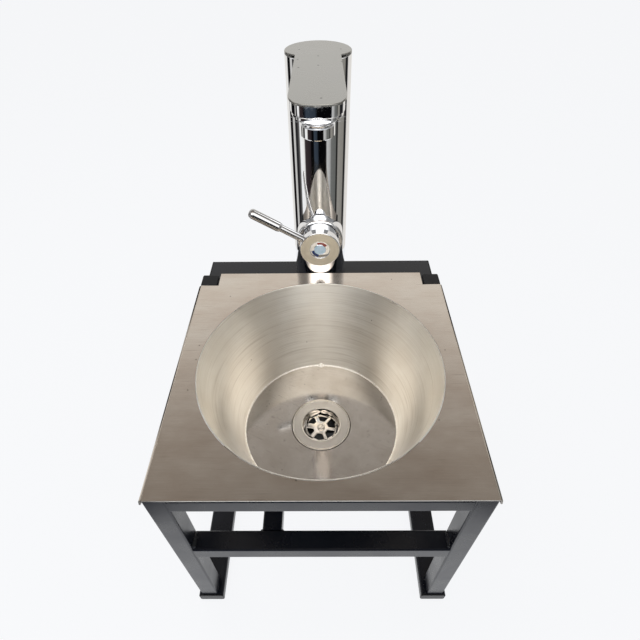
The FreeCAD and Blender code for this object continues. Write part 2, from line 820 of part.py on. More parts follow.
def build_spout():
    # The spout is a flat beam with a step along its side and a tapered neck for the aerator.
    at = (0, tap_y, spout_top)
    half, nose = s.spout_width / 2, s.nose_rise * s.spout_width / s.cover_width
    upper_end = -s.spout_upper
    lower_end = upper_end - s.spout_lower
    body = new_body("spout")
    pad_strip(body, "spout_upper", half, s.spout_reach, nose, s.spout_upper, upper_end)
    pad_strip(body, "spout_lower", half - s.spout_step, s.spout_reach - s.spout_step, nose,
              s.spout_lower, lower_end)
    del pieces["spout"]
    place(body, at)
    neck_end = lower_end - s.neck_height
    outlet, low, high = s.outlet_dia / 2, s.neck_dia / 2, s.neck_top_dia / 2
    neck = turned("spout_neck", [(outlet, neck_end), (low, neck_end),
                                 (low, neck_end + s.neck_straight), (high, lower_end),
                                 (outlet, lower_end)])
    del pieces["spout_neck"]
    outlet_at = (0, tap_y - s.aerator_reach, spout_top)
    place(neck, outlet_at)
    pillar = cylinder("spout_seat", s.tap_dia + s.hole_fit * 2, s.boss_dia,
                      (0, tap_y, spout_top - s.boss_dia + s.overrun))
    keep("spout", cut("spout", fuse("spout", body, neck), pillar))

    cover = new_body("spout_cover")
    pad_strip(cover, "cover_strip", s.cover_width / 2, s.cover_reach, s.nose_rise,
              s.cover_thick, ZERO)
    pad(cover, "cover_disc", [], s.cover_thick, circles=[((ZERO, ZERO), s.tap_dia / 2)])
    top = s.cover_thick.value

    def top_edge(edge):
        return all(abs(v.Point.z - top) < 1e-6 for v in edge.Vertexes)

    soften(cover, s.cover_edge, top_edge, kind="Chamfer")
    place(cover, at)

    ring_top = neck_end
    ring_end = ring_top - s.aerator_height
    outer, bore, edge = s.aerator_dia / 2, s.aerator_bore / 2, s.aerator_edge
    place(turned("aerator_ring", [
        (bore, ring_end), (outer - edge, ring_end), (outer, ring_end + edge),
        (outer, ring_top - edge), (outer - edge, ring_top), (bore, ring_top)]), outlet_at)
    grid = bore - s.insert_fit
    low = ring_end + s.insert_depth
    place(turned("aerator_insert", [(ZERO, low), (grid, low), (grid, low + s.insert_thick),
                                    (ZERO, low + s.insert_thick)]), outlet_at)


def build_fixings():
    # What holds the tap down: a rubber ring above the bar, and a stud, shoe and nut below it.
    bar_under = bar_top - s.bar_height
    seal = (s.tap_dia / 2 - s.foot_seal_inset, s.foot_bore / 2)
    place(turned("tap_foot_seal", [(seal[1], ZERO), (seal[0], ZERO), (seal[0], s.foot_seal),
                                   (seal[1], s.foot_seal)]), (0, tap_y, bar_top))
    stud_y = tap_y + s.stud_shift
    stud_end = tap_foot + s.stud_depth - s.stud_length
    keep("tap_stud", cylinder("stud", s.stud_dia, s.stud_length, (0, stud_y, stud_end)))
    level = bar_under
    for label, thick in (("shoe_seal", s.shoe_seal), ("shoe_plate", s.shoe_plate)):
        level = level - thick
        disc = cylinder(f"{label}_disc", s.shoe_dia, thick, (0, tap_y, level))
        mouth = block(f"{label}_mouth", s.shoe_slot, s.shoe_dia, thick,
                      (ZERO, tap_y + s.inlet_shift + s.inlet_dia / 2 - s.shoe_dia / 2, level))
        hole = cylinder(f"{label}_hole", s.stud_dia + s.stud_fit * 2, thick, (0, stud_y, level))
        keep(label, cut(label, disc, mouth, hole))
    hexagon = solid("Prism", "nut_hexagon", (0, stud_y, level - s.nut_height),
                    Circumradius=s.nut_flats / math.sqrt(3), Height=s.nut_height)
    hole = cylinder("nut_hole", s.stud_dia + s.stud_fit * 2, s.nut_height,
                    (0, stud_y, level - s.nut_height))
    keep("stud_nut", cut("stud_nut", hexagon, hole))


# ---- cartridge: its local Z runs from the boss face towards the user ---------------------------

def build_cartridge():
    def seat(piece):
        return place(piece, pivot, TO_USER)

    radius = s.cartridge_dia / 2
    back = s.cartridge_seal_thick - s.bore_depth
    seat(turned("cartridge_seal", [(ZERO, -s.bore_depth), (radius, -s.bore_depth),
                                   (radius, back), (ZERO, back)]))
    seat(turned("cartridge_body", [(ZERO, back), (radius, back), (radius, -s.cartridge_front),
                                   (ZERO, -s.cartridge_front)]))
    ring = s.cartridge_bore / 2 - s.ring_fit
    inner = s.ring_nut_bore / 2
    seat(turned("cartridge_nut", [(inner, -s.cartridge_front), (ring, -s.cartridge_front),
                                  (ring, -s.ring_nut_front), (inner, -s.ring_nut_front)]))
    dome, face, hole = s.shroud_dia / 2, s.shroud_face_dia / 2, s.shroud_opening / 2
    wall = s.shroud_wall
    seat(turned("cartridge_shroud", [
        (ring - wall, -s.shroud_spigot), (ring, -s.shroud_spigot), (ring, ZERO), (dome, ZERO),
        (dome, s.shroud_front - (dome - face)), (face, s.shroud_front), (hole, s.shroud_front),
        (hole, s.shroud_front - wall), (face - wall, s.shroud_front - wall),
        (ring - wall, ZERO)]))


def handle_turn():
    # Local X runs along the lever, and local Z towards the user.
    return TO_USER * Rotation(Vector(0, 0, 1), 180 - SIZES["lever_angle"])


def build_rotor():
    # The turntable of the cartridge, with two ears for the pin that the lever tilts on.
    turn = handle_turn()
    disc = cylinder("rotor_disc", s.rotor_dia, s.cartridge_front - s.ring_fit - s.rotor_front,
                    (0, 0, s.ring_fit - s.cartridge_front))
    ears = []
    for way in SIDES.values():
        thick = s.ear_outer - s.ear_inner
        start = s.ear_inner if way > 0 else -s.ear_outer
        ears.append(cylinder("ear_round", s.ear_round * 2, thick, (0, start, 0), ALONG_Y))
        ears.append(block("ear_block", s.ear_round * 2, thick, s.rotor_front,
                          (ZERO, start + thick / 2, -s.rotor_front)))
    joined = fuse("rotor", disc, *ears)
    drill = cylinder("rotor_drill", s.pin_dia + s.pin_fit * 2, (s.ear_outer + s.overrun) * 2,
                     (0, -s.ear_outer - s.overrun, 0), ALONG_Y)
    keep("cartridge_rotor", place(cut("cartridge_rotor", joined, drill), pivot, turn))
    group = doc.addObject("Part::Compound", "pin_group")
    group.Links = [cylinder("pin", s.pin_dia, s.ear_outer * 2, (0, -s.ear_outer, 0), ALONG_Y)]
    keep("tilt_pin", place(group, pivot, turn))


def build_handle():
    turn = handle_turn()
    inward = Rotation(Vector(0, 0, 1), Vector(-1, 0, 0))

    def seat(label, piece):
        return keep(label, place(piece, pivot, turn))

    eye = cylinder("eye", s.eye_round * 2, s.eye_half * 2, (0, -s.eye_half, 0), ALONG_Y)
    shank = cylinder("shank", s.spindle_dia, s.spindle_end)
    drill = cylinder("eye_drill", s.pin_dia + s.pin_fit * 2, (s.eye_half + s.overrun) * 2,
                     (0, -s.eye_half - s.overrun, 0), ALONG_Y)
    seat("spindle", cut("spindle", fuse("spindle", eye, shank), drill))

    outer, cavity, hub = s.cap_dia / 2, s.cap_cavity / 2, s.cap_hub_dia / 2
    socket = s.spindle_dia / 2 + s.spindle_fit
    recess = s.cap_face - s.button_depth
    button = s.button_dia / 2
    edge = s.cap_edge
    cap = turned("cap_turn", [
        (cavity, s.cap_rim), (outer - edge, s.cap_rim), (outer, s.cap_rim + edge),
        (outer, s.cap_face - edge), (outer - edge, s.cap_face), (button, s.cap_face),
        (button, recess), (ZERO, recess), (ZERO, s.spindle_end + s.spindle_fit),
        (socket, s.spindle_end + s.spindle_fit), (socket, s.cap_hub_back), (hub, s.cap_hub_back),
        (hub, s.cap_web), (cavity, s.cap_web)])
    del pieces["cap_turn"]
    tap_hole = cylinder("lever_hole", s.lever_thread + s.grub_fit * 2, s.cap_dia / 2,
                        (hub + s.overrun, 0, s.lever_axis), ALONG_X)
    screw_bore = s.grub_dia + s.grub_fit * 2
    grub_z = (s.cap_hub_back + s.cap_web) / 2
    grub_hole = cylinder("grub_hole", screw_bore, s.cap_dia / 2, (0, 0, grub_z), inward)
    seat("handle_cap", cut("handle_cap", cap, tap_hole, grub_hole))

    floor = recess
    dome = s.button_dome_dia / 2
    disc = button - s.button_fit
    top = floor + s.button_thick
    label = turned("indicator_button", [(ZERO, floor), (disc, floor), (disc, top), (dome, top),
                                        (dome - s.button_dome, top + s.button_dome),
                                        (ZERO, top + s.button_dome)])
    place(label, pivot, turn)

    grub = cylinder("grub", s.grub_dia, s.grub_length, (-socket, 0, grub_z), inward)
    key = solid("Prism", "grub_key", (-(socket + s.grub_length - s.grub_hex_depth), 0, grub_z),
                inward, Circumradius=s.grub_hex / math.sqrt(3), Height=s.grub_hex_depth)
    seat("grub_screw", cut("grub_screw", grub, key))

    # The lever's own Z runs outward along the rod.
    rod_turn = turn * ALONG_X
    stem_r, thread = s.lever_dia / 2, s.lever_thread / 2
    neck = s.collar_neck / 2
    rod_at = [start + offset for start, offset in
              zip(pivot, (0, -s.lever_axis, 0))]
    rod = turned("rod_turn", [
        (ZERO, s.lever_root), (thread, s.lever_root), (thread, outer - s.overrun),
        (stem_r, outer - s.overrun), (stem_r, s.collar_at), (thread, s.collar_at),
        (thread, s.collar_at + s.lever_seat), (ZERO, s.collar_at + s.lever_seat)])
    del pieces["rod_turn"]
    place(rod, (0, 0, 0), ALONG_X)
    wall = cylinder("rod_saddle", s.cap_dia + s.grub_fit * 2, s.cap_dia,
                    (0, 0, -s.cap_dia / 2))
    tail = cylinder("rod_tail", s.lever_thread, s.cap_dia / 2 - s.lever_root + s.overrun * 2,
                    (s.lever_root, 0, 0), ALONG_X)
    stem = fuse("lever_stem", cut("lever_rod", rod, wall), tail)
    keep("lever_stem", place(stem, rod_at, turn))

    grip_r = s.grip_dia / 2
    bore = thread + s.grub_fit
    shoulder = s.collar_at + s.collar_length
    grip = turned("lever_grip", [
        (bore, s.collar_at), (neck, s.collar_at), (grip_r, shoulder), (grip_r, s.grip_end),
        (ZERO, s.grip_end), (ZERO, s.collar_at + s.lever_seat + s.grub_fit),
        (bore, s.collar_at + s.lever_seat + s.grub_fit)])
    end = number(s.grip_end)

    def grip_rim(edge):
        return abs(edge.BoundBox.ZMin - end) < 1e-6 and edge.Length > 1

    soften(grip, s.grip_round, grip_rim)
    place(grip, rod_at, rod_turn)


def check_all():
    doc.recompute()
    for thing in doc.Objects:
        if {"Invalid", "Error"} & set(thing.State):
            raise RuntimeError(f"{thing.Label} failed")
    for label, piece in pieces.items():
        if piece.Shape.isNull() or not piece.Shape.isValid():
            raise RuntimeError(f"{label} has no sound shape")


for build in (build_stand, build_tap_bar, build_plugs, build_beads, build_plate, build_bowl,
              build_waste, build_tap_body, build_spout, build_fixings, build_cartridge,
              build_rotor, build_handle):
    build()
check_all()
os.makedirs("parts", exist_ok=True)
for label, piece in pieces.items():
    piece.Shape.exportStep(f"parts/{label}.step")
print(f"{len(pieces)} pieces written")
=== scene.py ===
import math

import bmesh
import bpy
from mathutils import Matrix, Vector, noise


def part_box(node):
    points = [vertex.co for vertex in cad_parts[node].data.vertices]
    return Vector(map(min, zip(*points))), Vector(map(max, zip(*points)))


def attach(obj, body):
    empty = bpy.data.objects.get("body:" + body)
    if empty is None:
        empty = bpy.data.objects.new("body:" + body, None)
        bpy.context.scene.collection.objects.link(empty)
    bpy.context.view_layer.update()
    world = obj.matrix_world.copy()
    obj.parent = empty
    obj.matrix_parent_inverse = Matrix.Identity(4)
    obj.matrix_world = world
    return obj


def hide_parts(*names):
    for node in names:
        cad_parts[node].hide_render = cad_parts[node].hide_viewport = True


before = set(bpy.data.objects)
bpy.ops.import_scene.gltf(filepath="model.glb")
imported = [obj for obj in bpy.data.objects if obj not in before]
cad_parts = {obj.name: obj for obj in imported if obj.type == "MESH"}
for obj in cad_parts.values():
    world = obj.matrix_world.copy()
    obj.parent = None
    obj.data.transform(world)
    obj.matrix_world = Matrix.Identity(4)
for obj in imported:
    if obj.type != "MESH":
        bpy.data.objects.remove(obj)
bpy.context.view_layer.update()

# Lengths are in metres in Blender, so sizes given in millimetres go through mm().
millimetre = 0.001
scene = bpy.context.scene


def mm(*lengths):
    scaled = tuple(value * millimetre for value in lengths)
    return scaled if len(scaled) > 1 else scaled[0]


def newObject(name, data):
    made = bpy.data.objects.new(name, data)
    scene.collection.objects.link(made)
    return made


# The camera stands where the photograph was taken from.
photoView = {
    "place": (3.68, -338.69, 651.12),  # mm, from the bench in the middle of the sink
    "lookDown": 44.955,
    "lookLeft": 0.622,
    "roll": 0.769,
    "lens": 25.8,
    "sensor": 36,
}

camera = newObject("photoCamera", bpy.data.cameras.new("photoCamera"))
camera.data.lens = photoView["lens"]
camera.data.sensor_width = photoView["sensor"]
camera.data.clip_start = 0.01
camera.location = mm(*photoView["place"])
cameraTurn = (Matrix.Rotation(math.radians(photoView["lookLeft"]), 3, "Z")
              @ Matrix.Rotation(math.radians(90 - photoView["lookDown"]), 3, "X")
              @ Matrix.Rotation(math.radians(-photoView["roll"]), 3, "Z"))
camera.rotation_mode = "QUATERNION"
camera.rotation_quaternion = cameraTurn.to_quaternion()
scene.camera = camera
scene.view_settings.view_transform = "Standard"


def linearColour(code):
    # sRGB hex to the linear values that nodes take.
    channels = [int(code[i:i + 2], 16) / 255 for i in (1, 3, 5)]
    return [c / 12.92 if c <= 0.04045 else ((c + 0.055) / 1.055) ** 2.4 for c in channels] + [1.0]


def join(tree, node, **links):
    # Links a node's sockets, by name or by n and their number, to outputs or to nodes' first ones.
    for key, source in links.items():
        socket = int(key[1:]) if key[0] == "n" and key[1:].isdigit() else key.replace("_", " ")
        output = source if isinstance(source, bpy.types.NodeSocket) else source.outputs[0]
        tree.links.new(node.inputs[socket], output)


def addNode(tree, kind, settings=(), **links):
    # One node: settings are its properties, unlinked sockets or a ramp's places and colours.
    node = tree.nodes.new("ShaderNode" + kind)
    for key, value in dict(settings).items():
        if key == "stops":
            elements = node.color_ramp.elements
            while len(elements) < len(value):
                elements.new(0.5)
            for element, (place, colour) in zip(elements, value):
                element.position = place
                element.color = linearColour(colour)
        elif isinstance(key, int) or key in node.inputs:
            node.inputs[key].default_value = value
        else:
            setattr(node, key, value)
    join(tree, node, **links)
    return node


def emptyMaterial(name):
    material = bpy.data.materials.new(name)
    material.use_nodes = True
    material.node_tree.nodes.clear()
    return material, material.node_tree


studio = {
    "backdrop": "#F7F8FA",
    "paper": "#FCFDFF",
    "paperHalf": 4000,
    "paperGlow": 0.90,  # how much of the floor is plain white rather than lit paper
    "ambient": 0.40,
    # What polished steel sees: the pale backdrop round about and a darker ceiling overhead.
    "sky": ((0.0, "#F7F8FA"), (0.62, "#FFFDF9"), (0.80, "#AFA9A3"), (0.95, "#7E7872")),
    "glowWay": (0, -0.66, 0.75),
    "glowEdge": 0.66,  # cosines of the glow's half angles
    "glowHeart": 0.97,
    "glowStrength": 3.2,  # over the room's own
    "firstReflection": 1.5,  # ray depths below this are straight from what the camera sees
    "sideFrom": 0.3,
    "sideTo": 0.8,
    "sideDim": 0.3,
    "lamps": (
        # name, place mm, aim mm, width mm, height mm, watts
        ("frontBox", (-150, -1500, 420), (0, 0, 180), 1500, 500, 12),
        ("topBox", (-500, 300, 1600), (0, 0, 250), 900, 900, 5),
    ),
}


def buildWorld():
    world = bpy.data.worlds.new("studioWorld")
    scene.world = world
    world.use_nodes = True
    tree = world.node_tree
    tree.nodes.clear()
    path = addNode(tree, "LightPath")
    place = addNode(tree, "TexCoord").outputs["Generated"]
    parts = addNode(tree, "SeparateXYZ", n0=place)
    sky = addNode(tree, "ValToRGB", {"stops": studio["sky"]}, n0=parts.outputs["Z"])
    # It is darker to the sides, and a soft glow high in front lights the inside of the bowl.
    toGlow = addNode(tree, "VectorMath",
                     {"operation": "DOT_PRODUCT", 1: studio["glowWay"]}, n0=place)
    glow = addNode(tree, "MapRange",
                   {"interpolation_type": "SMOOTHSTEP", "From Min": studio["glowEdge"],
                    "From Max": studio["glowHeart"], "To Max": studio["glowStrength"]},
                   Value=toGlow.outputs["Value"])
    deep = addNode(tree, "Math",
                   {"operation": "GREATER_THAN", 1: studio["firstReflection"]},
                   n0=path.outputs["Ray Depth"])
    aside = addNode(tree, "Math", {"operation": "ABSOLUTE"}, n0=parts.outputs["X"])
    dim = addNode(tree, "MapRange",
                  {"From Min": studio["sideFrom"], "From Max": studio["sideTo"], "To Min": 1.0,
                   "To Max": studio["sideDim"]}, Value=aside)
    strength = addNode(tree, "Math", {"operation": "MULTIPLY_ADD"},
                       n0=glow, n1=deep, n2=dim)
    room = addNode(tree, "Background", Color=sky, Strength=strength)
    plain = addNode(tree, "Background",
                    {"Color": linearColour(studio["backdrop"]), "Strength": 1.0})
    soft = addNode(tree, "Background",
                   {"Color": linearColour("#FFFFFF"), "Strength": studio["ambient"]})
    mirrored = addNode(tree, "MixShader", n0=path.outputs["Is Glossy Ray"],
                       n1=soft, n2=room)
    seen = addNode(tree, "Math", {"operation": "MAXIMUM"},
                   n0=path.outputs["Is Camera Ray"], n1=path.outputs["Is Transmission Ray"])
    final = addNode(tree, "MixShader", n0=seen, n1=mirrored, n2=plain)
    addNode(tree, "OutputWorld", Surface=final)


def buildLamps():
    for name, place, aim, width, height, watts in studio["lamps"]:
        data = bpy.data.lights.new(name, "AREA")
        data.shape = "RECTANGLE"
        data.size, data.size_y = mm(width, height)
        data.energy = watts
        lamp = newObject(name, data)
        lamp.location = mm(*place)
        lamp.rotation_mode = "QUATERNION"
        lamp.rotation_quaternion = (Vector(mm(*aim)) - lamp.location).to_track_quat("-Z", "Y")
        lamp.visible_glossy = False  # bright steel mirrors the room instead


def buildFloor():
    # White paper under the sink, which keeps its shadow.
    half = mm(studio["paperHalf"])
    mesh = bpy.data.meshes.new("paperFloor")
    mesh.from_pydata([(-half, -half, 0), (half, -half, 0), (half, half, 0), (-half, half, 0)], [],
                     [(0, 1, 2, 3)])
    floor = newObject("paperFloor", mesh)
    paper, tree = emptyMaterial("paperFloor")
    path = addNode(tree, "LightPath")
    seen = addNode(tree, "Math", {"operation": "MAXIMUM"},
                   n0=path.outputs["Is Camera Ray"], n1=path.outputs["Is Glossy Ray"])
    through = addNode(tree, "Math", {"operation": "MAXIMUM"},
                      n0=seen, n1=path.outputs["Is Transmission Ray"])
    share = addNode(tree, "Math", {"operation": "MULTIPLY", 1: studio["paperGlow"]},
                    n0=through)
    lit = addNode(tree, "BsdfDiffuse", {"Color": linearColour(studio["backdrop"])})
    glow = addNode(tree, "Emission", {"Color": linearColour(studio["paper"])})
    both = addNode(tree, "MixShader", n0=share, n1=lit, n2=glow)
    addNode(tree, "OutputMaterial", Surface=both)
    mesh.materials.append(paper)


buildWorld()
buildLamps()
buildFloor()
print("studio ready")


# What bright plating sees round about: soft flags and screens that only reflections show.
flags = {
    "radius": 430,
    "steps": 180,
    "low": 1,
    "lowInFront": 120,  # lets the legs see the pale floor
    "frontHalf": 35,  # degrees
    "high": 620,
    "highInFront": 420,  # lets the bowl see the room above
    "highHalf": 75,
    "fadeFrom": 425,
    "fadeTo": 590,
    "pale": "#F2EFEA",
    "deepHigh": 420,  # how high a second reflection still meets them
    "centre": (0, 147.75),
    # degrees from straight in front of the tap, positive to the right, and tone
    "bands": ((-180, "#E4E1DC"), (-131, "#EEECE8"), (-125, "#0E0E10"), (-110, "#0B0B0D"),
              (-107, "#D2D0CC"), (-98, "#C9C7C3"), (-95, "#1A1A1C"), (-86, "#2A2A2C"),
              (-77, "#6A6865"), (-73, "#FFFFFF"), (-57, "#F4F2EE"), (-53, "#3A3234"),
              (-32, "#2B2527"), (-29, "#08080A"), (-20, "#08080A"), (-17, "#39424D"),
              (-4, "#303842"), (-1, "#060608"), (26, "#08080A"), (30, "#C4C4C2"),
              (42, "#A8A8A6"), (46, "#71726F"), (65, "#666764"), (68, "#141414"),
              (72, "#1B1B1B"), (76, "#94918A"), (102, "#8A8780"), (107, "#19191B"),
              (118, "#222224"), (123, "#E6E2DC")),
}


def buildFlags():
    steps, radius = flags["steps"], mm(flags["radius"])
    centre = mm(*flags["centre"])
    spots = []
    for edge, half in (("low", flags["frontHalf"]), ("high", flags["highHalf"])):
        for step in range(steps):
            angle = 2 * math.pi * step / steps
            inFront = math.cos(angle) > math.cos(math.radians(half))
            spots.append((centre[0] + radius * math.sin(angle),
                          centre[1] - radius * math.cos(angle),
                          mm(flags[edge + "InFront" if inFront else edge])))
    faces = [(i, (i + 1) % steps, steps + (i + 1) % steps, steps + i) for i in range(steps)]
    mesh = bpy.data.meshes.new("studioFlags")
    mesh.from_pydata(spots, [], faces)
    screen = newObject("studioFlags", mesh)
    material, tree = emptyMaterial("studioFlags")
    here = addNode(tree, "NewGeometry")
    middle = addNode(tree, "VectorMath", {"operation": "SUBTRACT", 1: (*centre, 0)},
                     n0=here.outputs["Position"])
    parts = addNode(tree, "SeparateXYZ", n0=middle)
    forward = addNode(tree, "Math", {"operation": "MULTIPLY", 1: -1.0},
                      n0=parts.outputs["Y"])
    angle = addNode(tree, "Math", {"operation": "ARCTAN2"},
                    n0=parts.outputs["X"], n1=forward)
    turn = addNode(tree, "MapRange", {"From Min": -math.pi, "From Max": math.pi},
                   Value=angle)
    bands = addNode(tree, "ValToRGB",
                    {"stops": [((way + 180) / 360, tone) for way, tone in flags["bands"]]},
                    Fac=turn)
    # Their tops fade, so that no hard line shows.
    fade = addNode(tree, "MapRange",
                   {"interpolation_type": "SMOOTHSTEP", "From Min": mm(flags["fadeFrom"]),
                    "From Max": mm(flags["fadeTo"])}, Value=parts.outputs["Z"])
    toned = addNode(tree, "Mix", {"data_type": "RGBA", 7: linearColour(flags["pale"])},
                    Factor=fade, n6=bands)
    glow = addNode(tree, "Emission", Color=toned.outputs[2])
    # A first reflection meets them everywhere and a second one only low down, so that they don't
    # darken the inside of the bowl.
    path = addNode(tree, "LightPath")
    lower = addNode(tree, "Math", {"operation": "LESS_THAN", 1: mm(flags["deepHigh"])},
                    n0=parts.outputs["Z"])
    limit = addNode(tree, "Math", {"operation": "ADD", 1: studio["firstReflection"]},
                    n0=lower)
    met = addNode(tree, "Math", {"operation": "LESS_THAN"},
                  n0=path.outputs["Ray Depth"], n1=limit)
    clear = addNode(tree, "BsdfTransparent")
    shown = addNode(tree, "MixShader", n0=met, n1=clear, n2=glow)
    addNode(tree, "OutputMaterial", Surface=shown)
    mesh.materials.append(material)
    for sight in ("visible_camera", "visible_diffuse", "visible_shadow", "visible_transmission"):
        setattr(screen, sight, False)
    print("flags ready")


buildFlags()


# Sizes that the materials share with the pieces, in millimetres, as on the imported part.
bowl = {
    "centre": (0, -32.95),
    "rim": 127.0,
    "rimHeight": 282.4,
    "lipRound": 0.5,
    "floor": 91.5,
    "floorHeight": 167.0,
    "sheet": 1.05,
    "steps": 192,
    "bead": 1.25,
    "beadTail": 0.3,  # how far the bead runs into the wall
    "beadUneven": 0.22,
    "beadWander": 14,
    "beadFine": 60,
    "blob": 2.8,  # the knob where the bead starts and ends, at the back
    "blobWidth": 2.6,
    "beadSteps": 360,
}
handle = {
    "pivot": (0, 108.25, 336),
    "cap": 23,
    "capBack": 8.5,
    "capFace": 18,
    "cavity": 21.5,
    "cavityEnd": 14.5,
    "edge": 1.1,
    "recess": 11.5,
    "recessDepth": 2,
    "socket": 3.55,  # holds the spindle's end
    "socketEnd": 15.05,
    "hub": 7,
    "hubEnd": 9,
    "satinFrom": 1.2,  # how far the satin face stays off the recess and off the rim
    "satinTo": 1.3,
}


def newMaterial(name, base, metallic, roughness, **more):
    # A Principled material with its plain values on the shader's own sockets, and the places on
    # the part that its patterns start from.
    material = bpy.data.materials.new(name)
    material.use_nodes = True
    tree = material.node_tree
    shader = tree.nodes["Principled BSDF"]
    plain = {"Base_Color": linearColour(base), "Metallic": metallic, "Roughness": roughness, **more}
    for key, value in plain.items():
        shader.inputs[key.replace("_", " ")].default_value = value
    return material, tree, shader, addNode(tree, "TexCoord").outputs["Object"]


def marked(tree, place, sizes, detail=3.0, uneven=0.5):
    # A soft pattern: sizes is how long its marks are, or how long along x, y and z, in millimetres.
    sizes = sizes if isinstance(sizes, tuple) else (sizes,) * 3
    scaled = addNode(tree, "VectorMath",
                     {"operation": "MULTIPLY", 1: [1 / mm(size) for size in sizes]}, n0=place)
    return addNode(tree, "TexNoise", {"Scale": 1.0, "Detail": detail,
                                                "Roughness": uneven}, Vector=scaled)


def specked(tree, place, spacing, size, share):
    # A few small spots on a flat face: spacing and radius in millimetres, and the share of the
    # cells that have one.
    cells = addNode(tree, "TexVoronoi",
                    {"voronoi_dimensions": "2D", "Scale": 1 / mm(spacing)}, Vector=place)
    chosen = addNode(tree, "SeparateColor", Color=cells.outputs["Color"])
    picked = addNode(tree, "Math", {"operation": "LESS_THAN", 1: share}, n0=chosen)
    radius = size / spacing
    near = addNode(tree, "MapRange", {"From Min": radius, "From Max": radius * 0.5},
                   Value=cells)
    return addNode(tree, "Math", {"operation": "MULTIPLY"}, n0=picked, n1=near)


def layered(tree, *layers):
    # A colour from layers, each a pattern with its tones and, from the second on, how strongly it
    # darkens those under it.
    colour = None
    for pattern, stops, *share in layers:
        ramp = addNode(tree, "ValToRGB", {"stops": stops}, Fac=pattern)
        colour = addNode(tree, "Mix", {"data_type": "RGBA", "blend_type": "MULTIPLY",
                                                 "Factor": share[0]},
                         n6=colour, n7=ramp).outputs[2] if share else ramp
    return colour


def finishShader(tree, shader, colour, gloss, relief):
    # gloss: a pattern and the roughness at the ends of its middle, which may be given too.
    # relief: a pattern and its depth in millimetres.
    pattern, low, high, *middle = gloss
    start, end = middle or (0.3, 0.7)
    rough = addNode(tree, "MapRange", {"From Min": start, "From Max": end,
                                                 "To Min": low, "To Max": high}, Value=pattern)
    height, depth = relief
    bump = addNode(tree, "Bump", {"Strength": 1.0, "Distance": mm(depth)}, Height=height)
    join(tree, shader, Base_Color=colour, Roughness=rough, Normal=bump)


def plainFinish(name, metallic, tones, gloss, sizes, depth, detail=3.0, uneven=0.5, **more):
    # One pattern gives the colour, the gloss and the relief.
    material, tree, shader, place = newMaterial(name, tones[-1][1], metallic, sum(gloss) / 2,
                                                **more)
    pattern = marked(tree, place, sizes, detail, uneven)
    finishShader(tree, shader, layered(tree, (pattern, tones)), (pattern, *gloss),
                 (pattern, depth))
    return material


def fromAxis(tree, place, spot, across):
    # How far a place is from an axis through spot; across is 1 along the other two directions.
    away = addNode(tree, "VectorMath", {"operation": "SUBTRACT", 1: mm(*spot)}, n0=place)
    flat = addNode(tree, "VectorMath", {"operation": "MULTIPLY", 1: across}, n0=away)
    return addNode(tree, "VectorMath", {"operation": "LENGTH"}, n0=flat).outputs["Value"]


def brushedSheet():
    # 304 stainless sheet, belt brushed from side to side: a warm pale grey with long faint lines,
    # dull smears and a few scratches and specks. The real lines are about 0.1 mm apart, and are
    # drawn six times as coarse so that they show; so are the scratches.
    finish = {"grain": (40, 0.6, 0.6), "smear": (60, 30, 30), "scratch": (38, 1.2, 1.2),
              "speck": (22, 0.75, 0.10), "lineDepth": 0.0015}
    material, tree, shader, place = newMaterial("brushedStainlessSheet", "#D8CEC2", 1.0, 0.14,
                                                Anisotropic=0.5)
    grain = marked(tree, place, finish["grain"], 3.0, 0.6)
    smear = marked(tree, place, finish["smear"], 4.0, 0.6)
    scratch = marked(tree, place, finish["scratch"], 1.0, 0.6)
    colour = layered(tree, (smear, ((0.3, "#CDC1B5"), (0.7, "#DED6CC"))),
                     (grain, ((0.25, "#DEDCDA"), (0.75, "#FFFFFF")), 0.4),
                     (scratch, ((0.0, "#FFFFFF"), (0.70, "#FFFFFF"), (0.76, "#B9B5B0")), 0.4),
                     (specked(tree, place, *finish["speck"]),
                      ((0.0, "#FFFFFF"), (1.0, "#4C443D")), 1.0))
    finishShader(tree, shader, colour, (smear, 0.11, 0.18), (grain, finish["lineDepth"]))
    join(tree, shader, Tangent=addNode(tree, "Tangent",
                                       {"direction_type": "RADIAL", "axis": "X"}))
    return material


